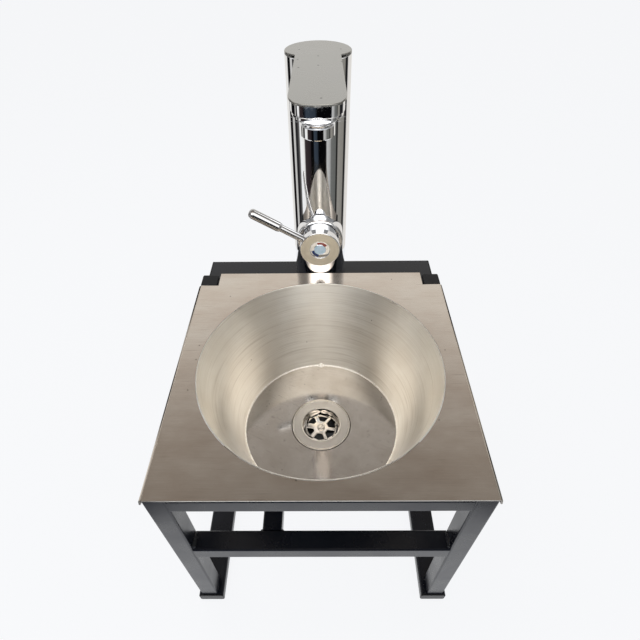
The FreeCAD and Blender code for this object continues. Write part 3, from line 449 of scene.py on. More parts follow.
def spunSteel():
    # Rolled 304 cone, polished on a turning wheel: long fine rings round the axis, some darker.
    # The real rings are finer than 0.3 mm, and are drawn 1 mm apart so that they show.
    finish = {"ring": (70, 1.0, 1), "groove": (120, 4.5, 1), "smear": 40,
              "speck": (21, 0.7, 0.06), "ringDepth": 0.004, "meanRadius": 110}
    material, tree, shader, place = newMaterial("ringPolishedBowlSteel", "#F2EFE9", 1.0, 0.34,
                                                Anisotropic=0.75, Anisotropic_Rotation=0.25)
    centre = addNode(tree, "VectorMath",
                     {"operation": "SUBTRACT", 1: mm(*bowl["centre"], 0)}, n0=place)
    parts = addNode(tree, "SeparateXYZ", n0=centre)
    angle = addNode(tree, "Math", {"operation": "ARCTAN2"},
                    n0=parts.outputs["X"], n1=parts.outputs["Y"])
    arc = addNode(tree, "Math", {"operation": "MULTIPLY", 1: mm(finish["meanRadius"])},
                  n0=angle)
    unrolled = addNode(tree, "CombineXYZ", X=arc, Y=parts.outputs["Z"]).outputs[0]
    ring = marked(tree, unrolled, finish["ring"], 4.0, 0.6)
    colour = layered(tree, (marked(tree, place, finish["smear"], 2.0),
                            ((0.3, "#EDE9E2"), (0.7, "#F6F4EF"))),
                     (ring, ((0.3, "#DDDAD6"), (0.65, "#FFFFFF")), 0.5),
                     (marked(tree, unrolled, finish["groove"], 2.0, 0.6),
                      ((0.30, "#D6D2CD"), (0.45, "#FFFFFF")), 0.4),
                     (specked(tree, unrolled, *finish["speck"]),
                      ((0.0, "#FFFFFF"), (1.0, "#6A6259")), 1.0))
    finishShader(tree, shader, colour, (ring, 0.30, 0.40), (ring, finish["ringDepth"]))
    join(tree, shader, Tangent=addNode(tree, "Tangent",
                                       {"direction_type": "RADIAL", "axis": "Z"}))
    return material


def dullSheet():
    # The bowl's floor, pickled after welding: dull and cloudy, with dark specks, and with scratches
    # drawn wider than the real hairlines so that they show.
    finish = {"cloud": 26, "stain": 5, "scratch": (16, 0.7, 0.7),
              "scratchTurn": 0.5, "speck": (11, 0.6, 0.08), "cloudDepth": 0.004}
    material, tree, shader, place = newMaterial("pickledStainlessFloor", "#E6E1DA", 1.0, 0.11)
    cloud = marked(tree, place, finish["cloud"])
    turned = addNode(tree, "Mapping", {"Rotation": (0, 0, finish["scratchTurn"])},
                     Vector=place)
    colour = layered(tree, (cloud, ((0.3, "#DFD9D1"), (0.7, "#EEEAE4"))),
                     (marked(tree, place, finish["stain"], 5.0),
                      ((0.24, "#C6C2BC"), (0.36, "#FFFFFF")), 0.5),
                     (marked(tree, turned, finish["scratch"], 1.0, 0.6),
                      ((0.68, "#FFFFFF"), (0.76, "#A8A29B")), 0.4),
                     (specked(tree, place, *finish["speck"]),
                      ((0.0, "#FFFFFF"), (1.0, "#3B332C")), 1.0))
    finishShader(tree, shader, colour, (cloud, 0.07, 0.13), (cloud, finish["cloudDepth"]))
    return material


def chromePlate(name, low, high):
    # Chrome plated brass, buffed: a mirror with a barely uneven surface and faint dull clouds.
    finish = {"wave": 9, "waveDepth": 0.006, "speck": 3}
    material, tree, shader, place = newMaterial(name, high, 1.0, 0.05)
    speck = marked(tree, place, finish["speck"])
    finishShader(tree, shader, layered(tree, (speck, ((0.3, low), (0.7, high)))),
                 (speck, 0.03, 0.08, 0.5, 0.8),
                 (marked(tree, place, finish["wave"], 1.0), finish["waveDepth"]))
    return material


def satinLid():
    # Chrome over a fine ground face: even grey, with a faint cloud and a few tiny dark pits.
    finish = {"cloud": 20, "cloudDepth": 0.003, "pit": (19, 1.1, 0.2)}
    material, tree, shader, place = newMaterial("satinChromeLid", "#A5A49F", 1.0, 0.28)
    cloud = marked(tree, place, finish["cloud"])
    colour = layered(tree, (cloud, ((0.3, "#A19F9A"), (0.7, "#AAA9A4"))),
                     (specked(tree, place, *finish["pit"]),
                      ((0.0, "#FFFFFF"), (1.0, "#3C3A37")), 1.0))
    finishShader(tree, shader, colour, (cloud, 0.24, 0.32), (cloud, finish["cloudDepth"]))
    return material


def satinFace():
    # The lever's cap has a turned satin face between its bright edges, with faint rings; its warm
    # beige tint is a painted reflection of the plate in front of it.
    # The rings are drawn 0.5 mm apart where the real ones are about 0.1 mm, so that they show.
    finish = {"ring": 0.5, "ringDepth": 0.004}
    material, tree, shader, place = newMaterial("satinChromeFace", "#F0E6D2", 0.75, 0.35,
                                                Anisotropic=0.4)
    rings = addNode(tree, "TexNoise", {"noise_dimensions": "1D",
                                                 "Scale": 1 / mm(finish["ring"]), "Detail": 2.0},
                    W=fromAxis(tree, place, handle["pivot"], (1, 0, 1)))
    # Painted reflection: the beige tones stand in for the plate that the face mirrors; the rings
    # are its own.
    finishShader(tree, shader, layered(tree, (rings, ((0.3, "#E4DAC6"), (0.7, "#F6EEDC")))),
                 (rings, 0.30, 0.42), (rings, finish["ringDepth"]))
    return material


def powderCoat():
    # Near-black blue polyester powder baked on mild steel: half glossy, with a fine orange peel.
    finish = {"peel": 1.6, "peelDepth": 0.02, "cloud": 35}
    material, tree, shader, place = newMaterial("powderCoatedMildSteel", "#151820", 0.0, 0.3,
                                                IOR=1.55, Specular_IOR_Level=0.38)
    cloud = marked(tree, place, finish["cloud"], 4.0)
    finishShader(tree, shader, layered(tree, (cloud, ((0.3, "#11141C"), (0.7, "#191C25")))),
                 (cloud, 0.24, 0.34),
                 (marked(tree, place, finish["peel"], 2.0), finish["peelDepth"]))
    return material


def wasteBodyPlastic():
    # White polypropylene, injection moulded; its bore is painted near-black, painted shade for the
    # shadow down inside it.
    finish = {"cloud": 12, "cloudDepth": 0.01, "shadeStart": 23.3, "shadeEnd": 23.7}
    material, tree, shader, place = newMaterial("mouldedPolypropylene", "#E4E4E0", 0.0, 0.42,
                                                IOR=1.49, Specular_IOR_Level=0.1)
    # Painted shade: inside the given radius the bore turns near-black, standing in for the shadow
    # in the pipe.
    inside = addNode(tree, "MapRange", {"From Min": mm(finish["shadeEnd"]),
                                                  "From Max": mm(finish["shadeStart"])},
                     Value=fromAxis(tree, place, (*bowl["centre"], 0), (1, 1, 0)))
    cloud = marked(tree, place, finish["cloud"])
    both = addNode(tree, "Mix", {"data_type": "RGBA"}, Factor=inside,
                   n6=layered(tree, (cloud, ((0.3, "#DEDEDA"), (0.7, "#E9E9E6")))),
                   n7=layered(tree, (cloud, ((0.3, "#070706"), (0.7, "#12110F")))))
    finishShader(tree, shader, both.outputs[2], (cloud, 0.36, 0.5), (cloud, finish["cloudDepth"]))
    return material


sheetSteel, bowlSteel, floorSteel = brushedSheet(), spunSteel(), dullSheet()
chrome = chromePlate("brightChromePlate", "#ECEDF0", "#F3F4F6")
# The lever and its shroud get a darker copy of the column's chrome: painted shade that dims their
# reflections.
handledChrome = chromePlate("shadedChromePlate", "#B6B6B7", "#C3C3C4")
lidChrome, faceChrome = satinLid(), satinFace()
coat, wastePlastic = powderCoat(), wasteBodyPlastic()

# The cut edge of the sheet: bright, with the upright marks that the shear leaves.
edgeSteel = plainFinish("shearedStainlessEdge", 1.0, ((0.3, "#D9D4CC"), (0.7, "#F6F3EE")),
                        (0.28, 0.42), (0.5, 0.5, 6), 0.01, uneven=0.6)
# The bead round the bowl's floor, brushed back after welding: pale and bright.
beadSteel = plainFinish("weldedStainlessBead", 1.0, ((0.3, "#EAE3D8"), (0.6, "#FFFDF8")),
                        (0.34, 0.48), 1.6, 0.03, 2.0)
# The stainless of the waste, bright from the press and brighter where it was polished, with turning
# marks that are drawn at 0.6 mm, coarser than the real ones, so that they show.
pressed, polished = (plainFinish(name, 1.0, ((0.3, "#E9E4DC"), (0.7, "#F5F2EC")), gloss,
                                 0.6, 0.0005, 2.0)
                     for name, gloss in (("pressedStainless", (0.3, 0.4)),
                                         ("polishedStainless", (0.06, 0.12))))
# The stand's coat over the ripples of a weld, where it runs thin and glossy.
weldCoat = plainFinish("powderCoatedWeld", 0.0, ((0.35, "#1A1C20"), (0.75, "#34363B")),
                       (0.16, 0.3), 1.2, 0.06, IOR=1.55)
# Black polyethylene, injection moulded: slightly waxy, with a spark texture drawn coarser than
# the real 0.1 mm so that it shows.
plug = plainFinish("mouldedPolyethylene", 0.0, ((0.3, "#101115"), (0.7, "#191A1E")),
                   (0.30, 0.44), 0.9, 0.012, 2.0, IOR=1.5, Specular_IOR_Level=0.25)
# Black nitrile rubber, moulded: matt, with a dusty bloom.
rubber = plainFinish("mouldedNitrileRubber", 0.0, ((0.35, "#1A1A1B"), (0.75, "#2E2E2E")),
                     (0.65, 0.85), 4, 0.02, 4.0, IOR=1.52)
# Zinc plated fixings: pale blue-grey, with the plating's fine spangle.
zinc = plainFinish("zincPlatedSteel", 1.0, ((0.3, "#ACB0B5"), (0.7, "#C6C8CA")), (0.28, 0.44),
                   1.5, 0.01)
# Turned brass of the cartridge's nut, with its tool marks.
brass = plainFinish("turnedBrass", 1.0, ((0.3, "#C8A95F"), (0.7, "#DCBE78")), (0.22, 0.36),
                    (8, 0.4, 8), 0.01, uneven=0.6)
# Off-white acetal of the valve cartridge, injection moulded.
acetal = plainFinish("mouldedAcetal", 0.0, ((0.3, "#D0CEC4"), (0.7, "#DEDCD3")), (0.34, 0.48),
                     5, 0.01, IOR=1.48)
# Moulded acrylic of the indicator, with its colour behind a glossy skin.
clearAcrylic, warmAcrylic, coldAcrylic = (
    plainFinish(name, 0.0, ((0.3, low), (0.7, high)), (0.08, 0.18), 2.5, 0.004, 2.0,
                IOR=1.49, Coat_Weight=0.6)
    for name, low, high in (("clearAcrylicCentre", "#A9C8D2", "#C8D4E6"),
                            ("redAcrylicMark", "#7C2A26", "#98443C"),
                            ("blueAcrylicMark", "#0F2350", "#1B3668")))
print("materials ready")


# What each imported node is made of.
finishes = {
    coat: ("front_leg_left", "front_leg_right", "rear_post_left", "rear_post_right",
           "front_top_rail", "rear_top_rail", "side_top_rail_left", "side_top_rail_right",
           "front_mid_rail", "rear_mid_rail", "mid_brace", "skid_left", "skid_right",
           "tap_bar"),
    weldCoat: ("weld_beads",),
    plug: ("skid_cap_front_left", "skid_cap_front_right", "skid_cap_rear_left",
           "skid_cap_rear_right", "post_cap_left", "post_cap_right", "tap_bar_cap_left",
           "tap_bar_cap_right"),
    sheetSteel: ("top_plate",),
    bowlSteel: ("bowl_wall",),
    floorSteel: ("bowl_floor",),
    beadSteel: ("bowl_weld",),
    pressed: ("waste_flange", "strainer_grid", "waste_screw"),
    wastePlastic: ("waste_body",),
    rubber: ("flange_seal", "under_seal", "tap_foot_seal", "shoe_seal", "cartridge_seal"),
    chrome: ("tap_body", "spout", "aerator_ring", "handle_cap"),
    # Painted shade: the lever and shroud use the darker copy of the chrome.
    handledChrome: ("cartridge_shroud", "lever_stem", "lever_grip"),
    lidChrome: ("spout_cover",),
    zinc: ("shoe_plate", "stud_nut", "tap_stud", "tilt_pin", "grub_screw", "spindle"),
    brass: ("cartridge_nut",),
    acetal: ("cartridge_body", "cartridge_rotor", "aerator_insert", "indicator_button"),
}
for material, names in finishes.items():
    for name in names:
        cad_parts[name].material_slots[0].material = material
print("packed nodes ready")


def roundedPath(points, steps=4):
    # points: two coordinates and, where a corner is rounded, how far from it the curve starts.
    path = []
    for index, point in enumerate(points):
        here = Vector(point[:2])
        if len(point) < 3:
            path.append(here)
            continue
        before = Vector(points[index - 1][:2]) - here
        after = Vector(points[(index + 1) % len(points)][:2]) - here
        start, end = here + before.normalized() * point[2], here + after.normalized() * point[2]
        for step in range(steps + 1):
            part = step / steps
            path.append(start * (1 - part) ** 2 + here * 2 * part * (1 - part) + end * part ** 2)
    return path


def finishedMesh(shape, name, turn=None):
    # shape is a bmesh in millimetres; turn takes it to its place on the part.
    bmesh.ops.remove_doubles(shape, verts=shape.verts, dist=1e-4)
    bmesh.ops.recalc_face_normals(shape, faces=shape.faces)
    mesh = bpy.data.meshes.new(name)
    shape.to_mesh(mesh)
    shape.free()
    if turn:
        mesh.transform(turn)
    mesh.transform(Matrix.Scale(millimetre, 4))
    return mesh


def turnedShape(points, centre=(0, 0), steps=128, bend=None):
    # A closed outline of (radius, height) turned round an upright axis.
    shape = bmesh.new()
    rings = []
    for radius, height in roundedPath(points):
        count = 1 if radius < 1e-6 else steps
        ring = []
        for step in range(count):
            angle = 2 * math.pi * step / steps
            far, high = bend(angle, radius, height) if bend else (radius, height)
            ring.append(shape.verts.new((centre[0] + far * math.sin(angle),
                                         centre[1] + far * math.cos(angle), high)))
        rings.append(ring)
    for first, second in zip(rings, rings[1:] + rings[:1]):
        for step in range(steps):
            corners = (first[step % len(first)], first[(step + 1) % steps % len(first)],
                       second[(step + 1) % steps % len(second)], second[step % len(second)])
            corners = list(dict.fromkeys(corners))
            if len(corners) > 2:
                shape.faces.new(corners)
    return shape


def addPiece(name, mesh, materials, body, replaced, sharp=35):
    # Puts a piece on its body in place of the nodes that it stands for.
    piece = newObject(name, mesh)
    for material in materials:
        mesh.materials.append(material)
    mesh.shade_smooth()
    mesh.set_sharp_from_angle(angle=math.radians(sharp))
    weigh = piece.modifiers.new("weighedNormals", "WEIGHTED_NORMAL")
    weigh.keep_sharp = True
    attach(piece, body)
    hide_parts(*replaced)
    return piece


def flatShape(outlines, low, high, soften, steps=3):
    # A flat piece from closed outlines, the holes among them, whose edges are rounded.
    curve = bpy.data.curves.new("outline", "CURVE")
    curve.dimensions = "2D"
    curve.fill_mode = "BOTH"
    curve.extrude = (high - low) / 2 - soften
    curve.bevel_depth = soften
    curve.bevel_resolution = steps
    curve.offset = -soften
    for outline in outlines:
        spline = curve.splines.new("POLY")
        spline.points.add(len(outline) - 1)
        for point, (x, y) in zip(spline.points, outline):
            point.co = (x, y, 0, 1)
        spline.use_cyclic_u = True
    holder = bpy.data.objects.new("outline", curve)
    mesh = bpy.data.meshes.new_from_object(holder)
    shape = bmesh.new()
    shape.from_mesh(mesh)
    bpy.data.objects.remove(holder)
    bpy.data.curves.remove(curve)
    bpy.data.meshes.remove(mesh)
    bmesh.ops.translate(shape, verts=shape.verts, vec=(0, 0, (high + low) / 2))
    return shape


def circlePoints(radius, centre=(0, 0), steps=128):
    turn = 2 * math.pi / steps
    return [(centre[0] + radius * math.cos(turn * step), centre[1] + radius * math.sin(turn * step))
            for step in range(steps)]


def joinedShape(first, *others):
    for other in others:
        mesh = bpy.data.meshes.new("joined")
        other.to_mesh(mesh)
        other.free()
        first.from_mesh(mesh)
        bpy.data.meshes.remove(mesh)
    return first


def boxOf(node):
    # A node's lowest and highest corners in millimetres.
    return [[value / millimetre for value in corner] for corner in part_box(node)]


# The top plate.
plate = {
    "back": 92.25,
    "tongueHalf": 126.0,
    "thick": 1.5,
    "foldRadius": 3.0,
    "foldSteps": 6,
    "hole": 128.1,
    "flare": 0.9,  # the flanges' front ends stand out a little
    "flareLength": 7,
    "edgeSoft": 0.25,
    "edgeAngle": 60,  # degrees, from which an edge is softened
}


def buildPlate():
    # The upper skin, folded down at both sides, is given its thickness by a modifier.
    low, high = boxOf("top_plate")
    half, front, top = high[0], low[1], high[2]
    fold = plate["foldRadius"]
    inner = half - fold
    shape = bmesh.new()
    back, tongue = plate["back"], plate["tongueHalf"]
    outline = [(-inner, front), (inner, front), (inner, back), (tongue, back), (tongue, high[1]),
               (-tongue, high[1]), (-tongue, back), (-inner, back)]
    edges = []
    for ring in (outline, circlePoints(plate["hole"], bowl["centre"], bowl["steps"])):
        corners = [shape.verts.new((x, y, top)) for x, y in ring]
        edges += [shape.edges.new(pair) for pair in zip(corners, corners[1:] + corners[:1])]
    bmesh.ops.triangle_fill(shape, edges=edges, use_beauty=True)
    steps = plate["foldSteps"]
    for side in (-1, 1):
        rows = []
        for y in (front, front + plate["flareLength"], back):
            row = []
            for step in range(steps + 1):
                angle = math.pi / 2 * step / steps
                row.append((inner + fold * math.sin(angle), top - fold + fold * math.cos(angle)))
            row.append((half + (plate["flare"] if y == front else 0), low[2]))
            rows.append([shape.verts.new((side * x, y, z)) for x, z in row])
        for first, second in zip(rows, rows[1:]):
            for step in range(len(first) - 1):
                shape.faces.new((first[step], first[step + 1], second[step + 1], second[step]))
    mesh = finishedMesh(shape, "topPlate")
    if mesh.polygons[0].normal.z < 0:
        mesh.flip_normals()
    piece = addPiece("topPlate", mesh, (sheetSteel, edgeSteel), "sink", ("top_plate",))
    thicken = piece.modifiers.new("sheetThickness", "SOLIDIFY")
    thicken.thickness = mm(plate["thick"])
    thicken.offset = -1
    thicken.use_even_offset = True
    thicken.material_offset_rim = 1
    soften = piece.modifiers.new("softEdges", "BEVEL")
    soften.width = mm(plate["edgeSoft"])
    soften.segments = 2
    soften.angle_limit = math.radians(plate["edgeAngle"])
    piece.modifiers.move(0, 2)
    print("top plate ready")


buildPlate()


def buildBowl():
    # The wall is a rolled cone with a rounded lip that stands just above the plate.
    rim, floor, sheet = bowl["rim"], bowl["floor"], bowl["sheet"]
    low, high = bowl["floorHeight"], bowl["rimHeight"]
    lip = bowl["lipRound"]
    wall = turnedShape([(rim, high, lip), (rim + sheet, high, lip), (floor + sheet, low),
                        (floor, low)], bowl["centre"], bowl["steps"])
    addPiece("bowlWall", finishedMesh(wall, "bowlWall"), (bowlSteel,), "sink", ("bowl_wall",))

    # The bead between the wall and the floor varies a little, and ends in a small knob.
    size = bowl["bead"]

    def uneven(angle, radius, height):
        away = min(angle, 2 * math.pi - angle) * floor
        knob = math.exp(-(away / bowl["blobWidth"]) ** 2) * bowl["blob"]
        wander = noise.noise(Vector((math.sin(angle), math.cos(angle), 0)) * bowl["beadWander"])
        fine = noise.noise(Vector((math.sin(angle), math.cos(angle), 0.5)) * bowl["beadFine"])
        grow = 1 + bowl["beadUneven"] * (wander + 0.6 * fine) + knob / size
        rise = (height - low) * grow
        if radius < floor or height == low:
            return floor + (radius - floor) * grow, low + rise
        return floor + rise * (rim - floor) / (high - low), low + rise

    quarter = [math.pi / 2 * step / 6 for step in range(7)]
    points = [(floor - size * (1 - math.sin(angle)), low + size * (1 - math.cos(angle)))
              for angle in quarter]
    tail = floor + bowl["beadTail"]
    weld = turnedShape(points + [(tail, low + size), (tail, low)], bowl["centre"],
                       bowl["beadSteps"], uneven)
    addPiece("bowlWeld", finishedMesh(weld, "bowlWeld"), (beadSteel,), "sink", ("bowl_weld",), 60)
    print("bowl ready")


buildBowl()


# The waste; its heights are above the bench.
waste = {
    "turn": 20,  # degrees, how the grid happens to sit
    "flange": 35,
    "flangeTop": 167.2,
    "flangeUnder": 166,
    "grooveOuter": 33.9,
    "grooveInner": 33.3,
    "grooveDepth": 0.55,
    "mouth": 24.4,
    "mouthRise": 0.25,
    "bore": 22.4,
    "ledgeBore": 20.4,
    "ledge": 158.2,
    "cupEnd": 156.6,
    "shell": 23.8,
    "gridEdge": 22.3,
    "gridTop": 160.0,
    "gridSoft": 0.85,
    "windows": 6,
    "hub": 4.6,
    "ribWidth": 4.0,
    "windowReach": 19.2,
    "windowBow": 6.0,
    "shoulderBack": 2.6,  # a window's wide corners, off its reach and off the ribs
    "shoulderIn": 1.5,
    "windowRound": 2.4,
    "tipRound": 0.9,
    "screw": 4.75,
    "screwTop": 161.8,
    "screwSeat": 159.2,
    "screwEnd": 150.4,
    "shank": 2.5,
    "screwDip": 0.9,
    "slotLength": 2.5,  # half of it, and of its width
    "slotWidth": 0.55,
    "slotTurn": 48,  # degrees
}


def buildWaste():
    top, bore, shell = waste["flangeTop"], waste["bore"], waste["shell"]
    outer, inner, deep = waste["grooveOuter"], waste["grooveInner"], top - waste["grooveDepth"]
    lip = top + waste["mouthRise"]
    flange = turnedShape([
        (waste["flange"], waste["flangeUnder"], 0.2), (waste["flange"], top, 0.5),
        (outer, top, 0.4), (outer, deep), (inner, deep), (inner, top - 0.1, 0.2),
        (waste["mouth"] + 0.9, top - 0.1), (waste["mouth"], lip, 0.4), (bore, lip, 1.4),
        (bore, waste["ledge"], 0.8), (waste["ledgeBore"], waste["ledge"], 0.3),
        (waste["ledgeBore"], waste["cupEnd"]), (shell, waste["cupEnd"]),
        (shell, waste["flangeUnder"])], bowl["centre"])
    for side in flange.faces:
        middle = side.calc_center_median()
        if math.hypot(middle.x - bowl["centre"][0], middle.y - bowl["centre"][1]) > outer:
            side.material_index = 2
        elif middle.z < top - 0.2:
            side.material_index = 1
    addPiece("wasteFlange", finishedMesh(flange, "wasteFlange"),
             (pressed, polished, beadSteel), "sink", ("waste_flange",))

    # Six rounded windows leave six ribs, whose edges are rolled over.
    slope = math.pi / waste["windows"]
    start = waste["ribWidth"] / 2 / math.sin(slope)
    reach, tip = waste["windowReach"], waste["hub"] + start
    half, tipHalf = (reach - start) * math.tan(slope), (tip - start) * math.tan(slope)
    side, width = reach - waste["shoulderBack"], half - waste["shoulderIn"]
    curve = waste["windowRound"]
    window = roundedPath([(tip, -tipHalf, waste["tipRound"]), (side, -width, curve),
                          (reach, 0, waste["windowBow"]), (side, width, curve),
                          (tip, tipHalf, waste["tipRound"])], 5)
    outlines = [circlePoints(waste["gridEdge"])]
    for index in range(waste["windows"]):
        turn = math.radians(waste["turn"]) + 2 * math.pi * index / waste["windows"]
        outlines.append([(x * math.cos(turn) - y * math.sin(turn),
                          x * math.sin(turn) + y * math.cos(turn)) for x, y in window])
    grid = flatShape(outlines, waste["ledge"], waste["gridTop"], waste["gridSoft"], 4)
    bmesh.ops.translate(grid, verts=grid.verts, vec=(*bowl["centre"], 0))
    addPiece("strainerGrid", finishedMesh(grid, "strainerGrid"), (polished,), "sink",
             ("strainer_grid",), 50)

    screw, head, seat = waste["screw"], waste["screwTop"], waste["screwSeat"]
    shank, end, dip = waste["shank"], waste["screwEnd"], head - waste["screwDip"]
    body = turnedShape([(0, end), (shank, end), (shank, seat), (screw, seat, 0.2),
                        (screw, head - 0.3, 0.7), (screw - 1.6, head, 0.4), (screw - 2.0, dip),
                        (0, dip)], bowl["centre"], 64)
    far, wide = waste["slotLength"], waste["slotWidth"]
    slot = flatShape([[(-far, -wide), (far, -wide), (far, wide), (-far, wide)]], head - 0.95,
                     head - 0.35, 0.15, 2)
    bmesh.ops.rotate(slot, verts=slot.verts,
                     matrix=Matrix.Rotation(math.radians(waste["slotTurn"]), 3, "Z"))
    bmesh.ops.translate(slot, verts=slot.verts, vec=(*bowl["centre"], 0))
    addPiece("wasteScrew", finishedMesh(joinedShape(body, slot), "wasteScrew"), (polished,), "sink",
             ("waste_screw",))
    print("waste ready")


buildWaste()


# The spout's beam and its lid.
spout = {
    "axis": (0, 147.75),
    "top": 524.2,
    "start": 26,  # how far in front of the column's axis the beam begins, inside its wall
    "half": 21.4,
    "rearHalf": 20.2,
    "reach": 137.6,
    "upper": 9.2,
    "lower": 3.2,
    "step": 0.8,
    "edge": 0.45,
    "outlet": 124,
    "neckTop": 33,
    "neck": 25.6,
    "neckHeight": 4.2,
    "bore": 18,
}
lid = {
    "radius": 32,
    "shoulder": 0.66,  # how round the disc is in front of the column's axis
    "half": 22.8,
    "rearHalf": 21.4,
    "reach": 139,
    "noseRise": 2.6,
    "noseSteps": 20,
    "cornerIn": 6.2,  # how far the long corners reach in and back
    "cornerBack": 13,
    "cornerRound": 5,
    "thick": 1.8,
    "edge": 0.4,
    "discSteps": 96,
}


def noseOutline(half, reach, back):
    # A strip towards the user with a bowed nose and long rounded corners; back closes it.
    inner, rise = half - lid["cornerIn"], lid["noseRise"]
    radius = (inner ** 2 + rise ** 2) / (2 * rise)
    opening, count, curve = math.asin(inner / radius), lid["noseSteps"], lid["cornerRound"]
    arc = []
    for step in range(count + 1):
        angle = opening * (2 * step / count - 1)
        arc.append((radius * math.sin(angle), -reach + radius * (1 - math.cos(angle))))
    side = arc[0][1] + lid["cornerBack"]
    # The rounding of the nose's own corners takes the place of the steps next to them.
    nose = [(-half, side, curve), (*arc[0], curve), *arc[3:-3], (*arc[-1], curve),
            (half, side, curve)]
    return [(spout["axis"][0] + x, spout["axis"][1] + y)
            for x, y in roundedPath(nose + back, 6)]


def buildSpout():
    # A flat beam with a step along its side, and a flared neck for the aerator.
    half, step, top = spout["half"], spout["step"], spout["top"]
    middle, under = top - spout["upper"], top - spout["upper"] - spout["lower"]
    layers = []
    for inset, low, high in ((0, middle, top), (step, under, middle)):
        rear = spout["rearHalf"] - inset
        back = [(rear, -spout["start"]), (-rear, -spout["start"])]
        outline = noseOutline(half - inset, spout["reach"] - inset, back)
        layers.append(flatShape([outline], low, high, spout["edge"]))
    high, low = spout["neckTop"] / 2, spout["neck"] / 2
    end, inside, bore = under - spout["neckHeight"], under + 0.5, spout["bore"] / 2
    neck = turnedShape([(bore, end), (low, end, 0.3), (low, under - 1.6, 3.2),
                        (high, under - 0.4, 0.4), (high, inside), (bore, inside)],
                       (spout["axis"][0], spout["axis"][1] - spout["outlet"]))
    addPiece("spoutBeam", finishedMesh(joinedShape(*layers, neck), "spoutBeam"), (chrome,), "sink",
             ("spout",))

    radius, half = lid["radius"], lid["half"]
    front = radius * lid["shoulder"]
    join = math.asin(lid["rearHalf"] / radius)
    count = lid["discSteps"]
    disc = []
    for step in range(count + 1):
        angle = join + (2 * math.pi - 2 * join) * step / count
        deep = math.cos(angle)
        disc.append((radius * math.sin(angle), -deep * (front if deep > 0 else radius)))
    outline = noseOutline(half, lid["reach"], disc)
    shape = flatShape([outline], top, top + lid["thick"], lid["edge"])
    addPiece("spoutLid", finishedMesh(shape, "spoutLid"), (lidChrome,), "sink", ("spout_cover",))
    print("spout ready")


buildSpout()


def towardsUser():
    # Local z comes out of the cap's face; x and y are right and up on it.
    turn = Matrix(((1, 0, 0), (0, 0, -1), (0, 1, 0))).to_4x4()
    return Matrix.Translation(handle["pivot"]) @ turn


def buildHandle():
    cap, face, back = handle["cap"], handle["capFace"], handle["capBack"]
    edge, recess, deep = handle["edge"], handle["recess"], handle["capFace"] - handle["recessDepth"]
    cavity, cavityEnd, hub, hubEnd = (handle[key] for key in ("cavity", "cavityEnd", "hub",
                                                              "hubEnd"))
    socket, socketEnd = handle["socket"], handle["socketEnd"]
    shape = turnedShape([
        (cavity, back, 0.3), (cap, back, 0.8), (cap, face, edge), (recess, face, 0.4),
        (recess, deep), (0, deep), (0, socketEnd), (socket, socketEnd), (socket, hubEnd),
        (hub, hubEnd, 0.3), (hub, cavityEnd), (cavity, cavityEnd)])
    satin = recess + handle["satinFrom"], cap - handle["satinTo"]
    for side in shape.faces:
        middle = side.calc_center_median()
        if middle.z > face - 0.05 and satin[0] < math.hypot(middle.x, middle.y) < satin[1]:
            side.material_index = 1
    addPiece("leverCap", finishedMesh(shape, "leverCap", towardsUser()), (chrome, faceChrome),
             "handle", ("handle_cap",))


mark = {
    "disc": 11.4,
    "floor": 16,
    "thick": 1.2,
    "dome": 6.6,
    "domeFoot": 0.5,
    "domeSide": 0.35,
    "domeFlat": 0.55,
    "domeRise": 0.9,
    "arcInner": 7.0,
    "arcOuter": 9.9,
    "arcRise": 0.5,
    "arcStep": 5,  # degrees
    "arcs": ((2, 35, 110), (3, 190, 262)),  # slot, and where the warm and the cold arc lie
}


def buildMark():
    # A disc with a low dome between two coloured arcs.
    floor, dome, rim = mark["floor"], mark["dome"], mark["disc"]
    top = floor + mark["thick"]
    crown = top + mark["domeRise"]
    disc = turnedShape([(0, floor), (rim, floor), (rim, top, 0.3), (dome + mark["domeFoot"], top),
                        (dome, top + mark["domeSide"], 0.3), (dome * mark["domeFlat"], crown, 1.5),
                        (0, crown)], steps=96)
    for side in disc.faces:
        middle = side.calc_center_median()
        if math.hypot(middle.x, middle.y) < dome:
            side.material_index = 1
    arcs = []
    for index, start, end in mark["arcs"]:
        outer = [(mark["arcOuter"] * math.cos(math.radians(a)),
                  mark["arcOuter"] * math.sin(math.radians(a)))
                 for a in range(start, end + 1, mark["arcStep"])]
        inner = [(x * mark["arcInner"] / mark["arcOuter"], y * mark["arcInner"] / mark["arcOuter"])
                 for x, y in reversed(outer)]
        arc = flatShape([outer + inner], top - 0.2, top + mark["arcRise"], 0.2, 2)
        for side in arc.faces:
            side.material_index = index
        arcs.append(arc)
    piece = joinedShape(disc, *arcs)
    addPiece("leverMark", finishedMesh(piece, "leverMark", towardsUser()),
             (chrome, clearAcrylic, warmAcrylic, coldAcrylic), "handle", ("indicator_button",))
    print("lever cap ready")


buildHandle()
buildMark()


# The beads that hold the stand together.
bead = {
    "size": 2.6,
    "round": 2,  # the tubes' corner radius, which the bead stops short of
    "ripple": 2.1,
    "rippleDepth": 0.16,
    "unevenDepth": 0.10,
    "unevenLength": 5,
    "endSize": 0.55,  # of the full size, where a bead starts and ends
    "endSlope": 6,
    "sink": 0.15,  # how far it runs into the tubes
    "phase": 0.37,  # between one bead's ripples and the next one's
    "steps": 26,
    "sides": 6,
}


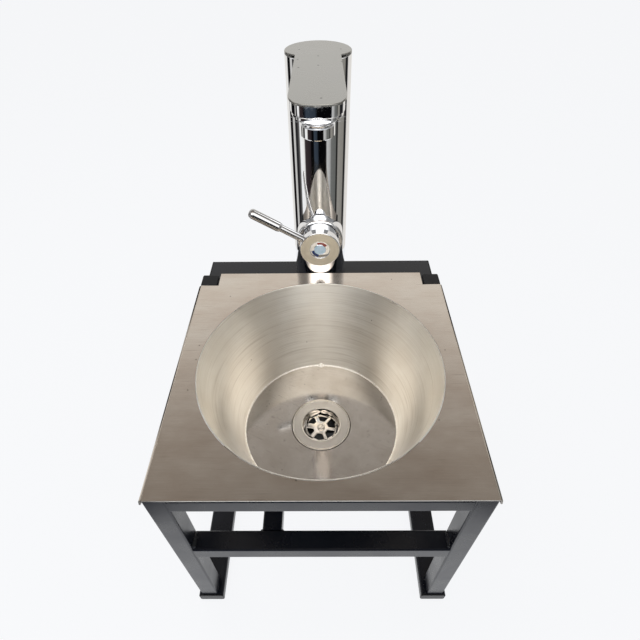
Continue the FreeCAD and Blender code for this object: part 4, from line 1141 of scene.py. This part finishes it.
def beadShape(shape, middle, run, length, first, second, seed):
    # A rippled quarter round whose flat sides face away from first and second.
    middle, run, first, second = (Vector(v) for v in (middle, run, first, second))
    rows = []
    for step in range(bead["steps"] + 1):
        along = step / bead["steps"]
        spot = middle + run * (along - 0.5) * length
        ripple = abs(math.sin(math.pi * (along * length / bead["ripple"] + seed)))
        uneven = noise.noise(Vector((along * length / bead["unevenLength"], seed * 7.3, 0)))
        end = min(1.0, bead["endSlope"] * min(along, 1 - along) + bead["endSize"])
        size = bead["size"] * end * (1 - bead["rippleDepth"] * ripple
                                     + bead["unevenDepth"] * uneven)
        row = [spot - first * bead["sink"] - second * bead["sink"]]
        for side in range(bead["sides"] + 1):
            angle = math.pi / 2 * side / bead["sides"]
            row.append(spot + first * size * math.cos(angle) + second * size * math.sin(angle))
        rows.append([shape.verts.new(point) for point in row])
    count = len(rows[0])
    for here, after in zip(rows, rows[1:]):
        for side in range(count):
            shape.faces.new((here[side], here[(side + 1) % count],
                             after[(side + 1) % count], after[side]))
    shape.faces.new(rows[0])
    shape.faces.new(reversed(rows[-1]))


def buildWelds():
    shape = bmesh.new()
    up, down = (0, 0, 1), (0, 0, -1)
    seeds = iter(range(1, 99))

    def weld(middle, run, section, first, second):
        beadShape(shape, middle, run, section - bead["round"] * 2, first, second,
                  next(seeds) * bead["phase"])

    legLow, legHigh = boxOf("front_leg_left")
    postLow, postHigh = boxOf("rear_post_left")
    midLow, midHigh = boxOf("front_mid_rail")
    topLow, topHigh = boxOf("front_top_rail")
    rearLow, rearHigh = boxOf("rear_top_rail")
    braceLow, braceHigh = boxOf("mid_brace")
    barHigh = boxOf("tap_bar")[1]
    skidTop = boxOf("skid_left")[1][2]
    tube = legHigh[0] - legLow[0]
    edge = -legHigh[0]
    legY, postY = (legLow[1] + legHigh[1]) / 2, (postLow[1] + postHigh[1]) / 2
    legX = edge + tube / 2
    braceX, midZ = (braceLow[0] + braceHigh[0]) / 2, (midLow[2] + midHigh[2]) / 2
    for sign in (-1, 1):
        inward = (-sign, 0, 0)
        for y in (legY, postY):
            weld((sign * edge, y, midHigh[2]), (0, 1, 0), tube, inward, up)
            weld((sign * edge, y, midLow[2]), (0, 1, 0), tube, inward, down)
        for low, high in ((topLow, topHigh), (rearLow, rearHigh)):
            weld((sign * edge, (low[1] + high[1]) / 2, low[2]), (0, 1, 0), high[1] - low[1],
                 inward, down)
        for y, way in ((legHigh[1], (0, 1, 0)), (postLow[1], (0, -1, 0))):
            weld((sign * legX, y, topLow[2]), (1, 0, 0), tube, way, down)
            weld((sign * legX, y, skidTop), (1, 0, 0), tube, way, up)
            weld((braceX + sign * tube / 2, y, midZ), (0, 0, 1), tube, (sign, 0, 0), way)
        weld((sign * legX, postHigh[1], barHigh[2]), (1, 0, 0), tube, (0, 1, 0), up)
        weld((sign * legX, postHigh[1], skidTop), (1, 0, 0), tube, (0, 1, 0), up)
    addPiece("standWelds", finishedMesh(shape, "standWelds"), (weldCoat,), "sink",
             ("weld_beads",), 60)
    print("welds ready")


buildWelds()
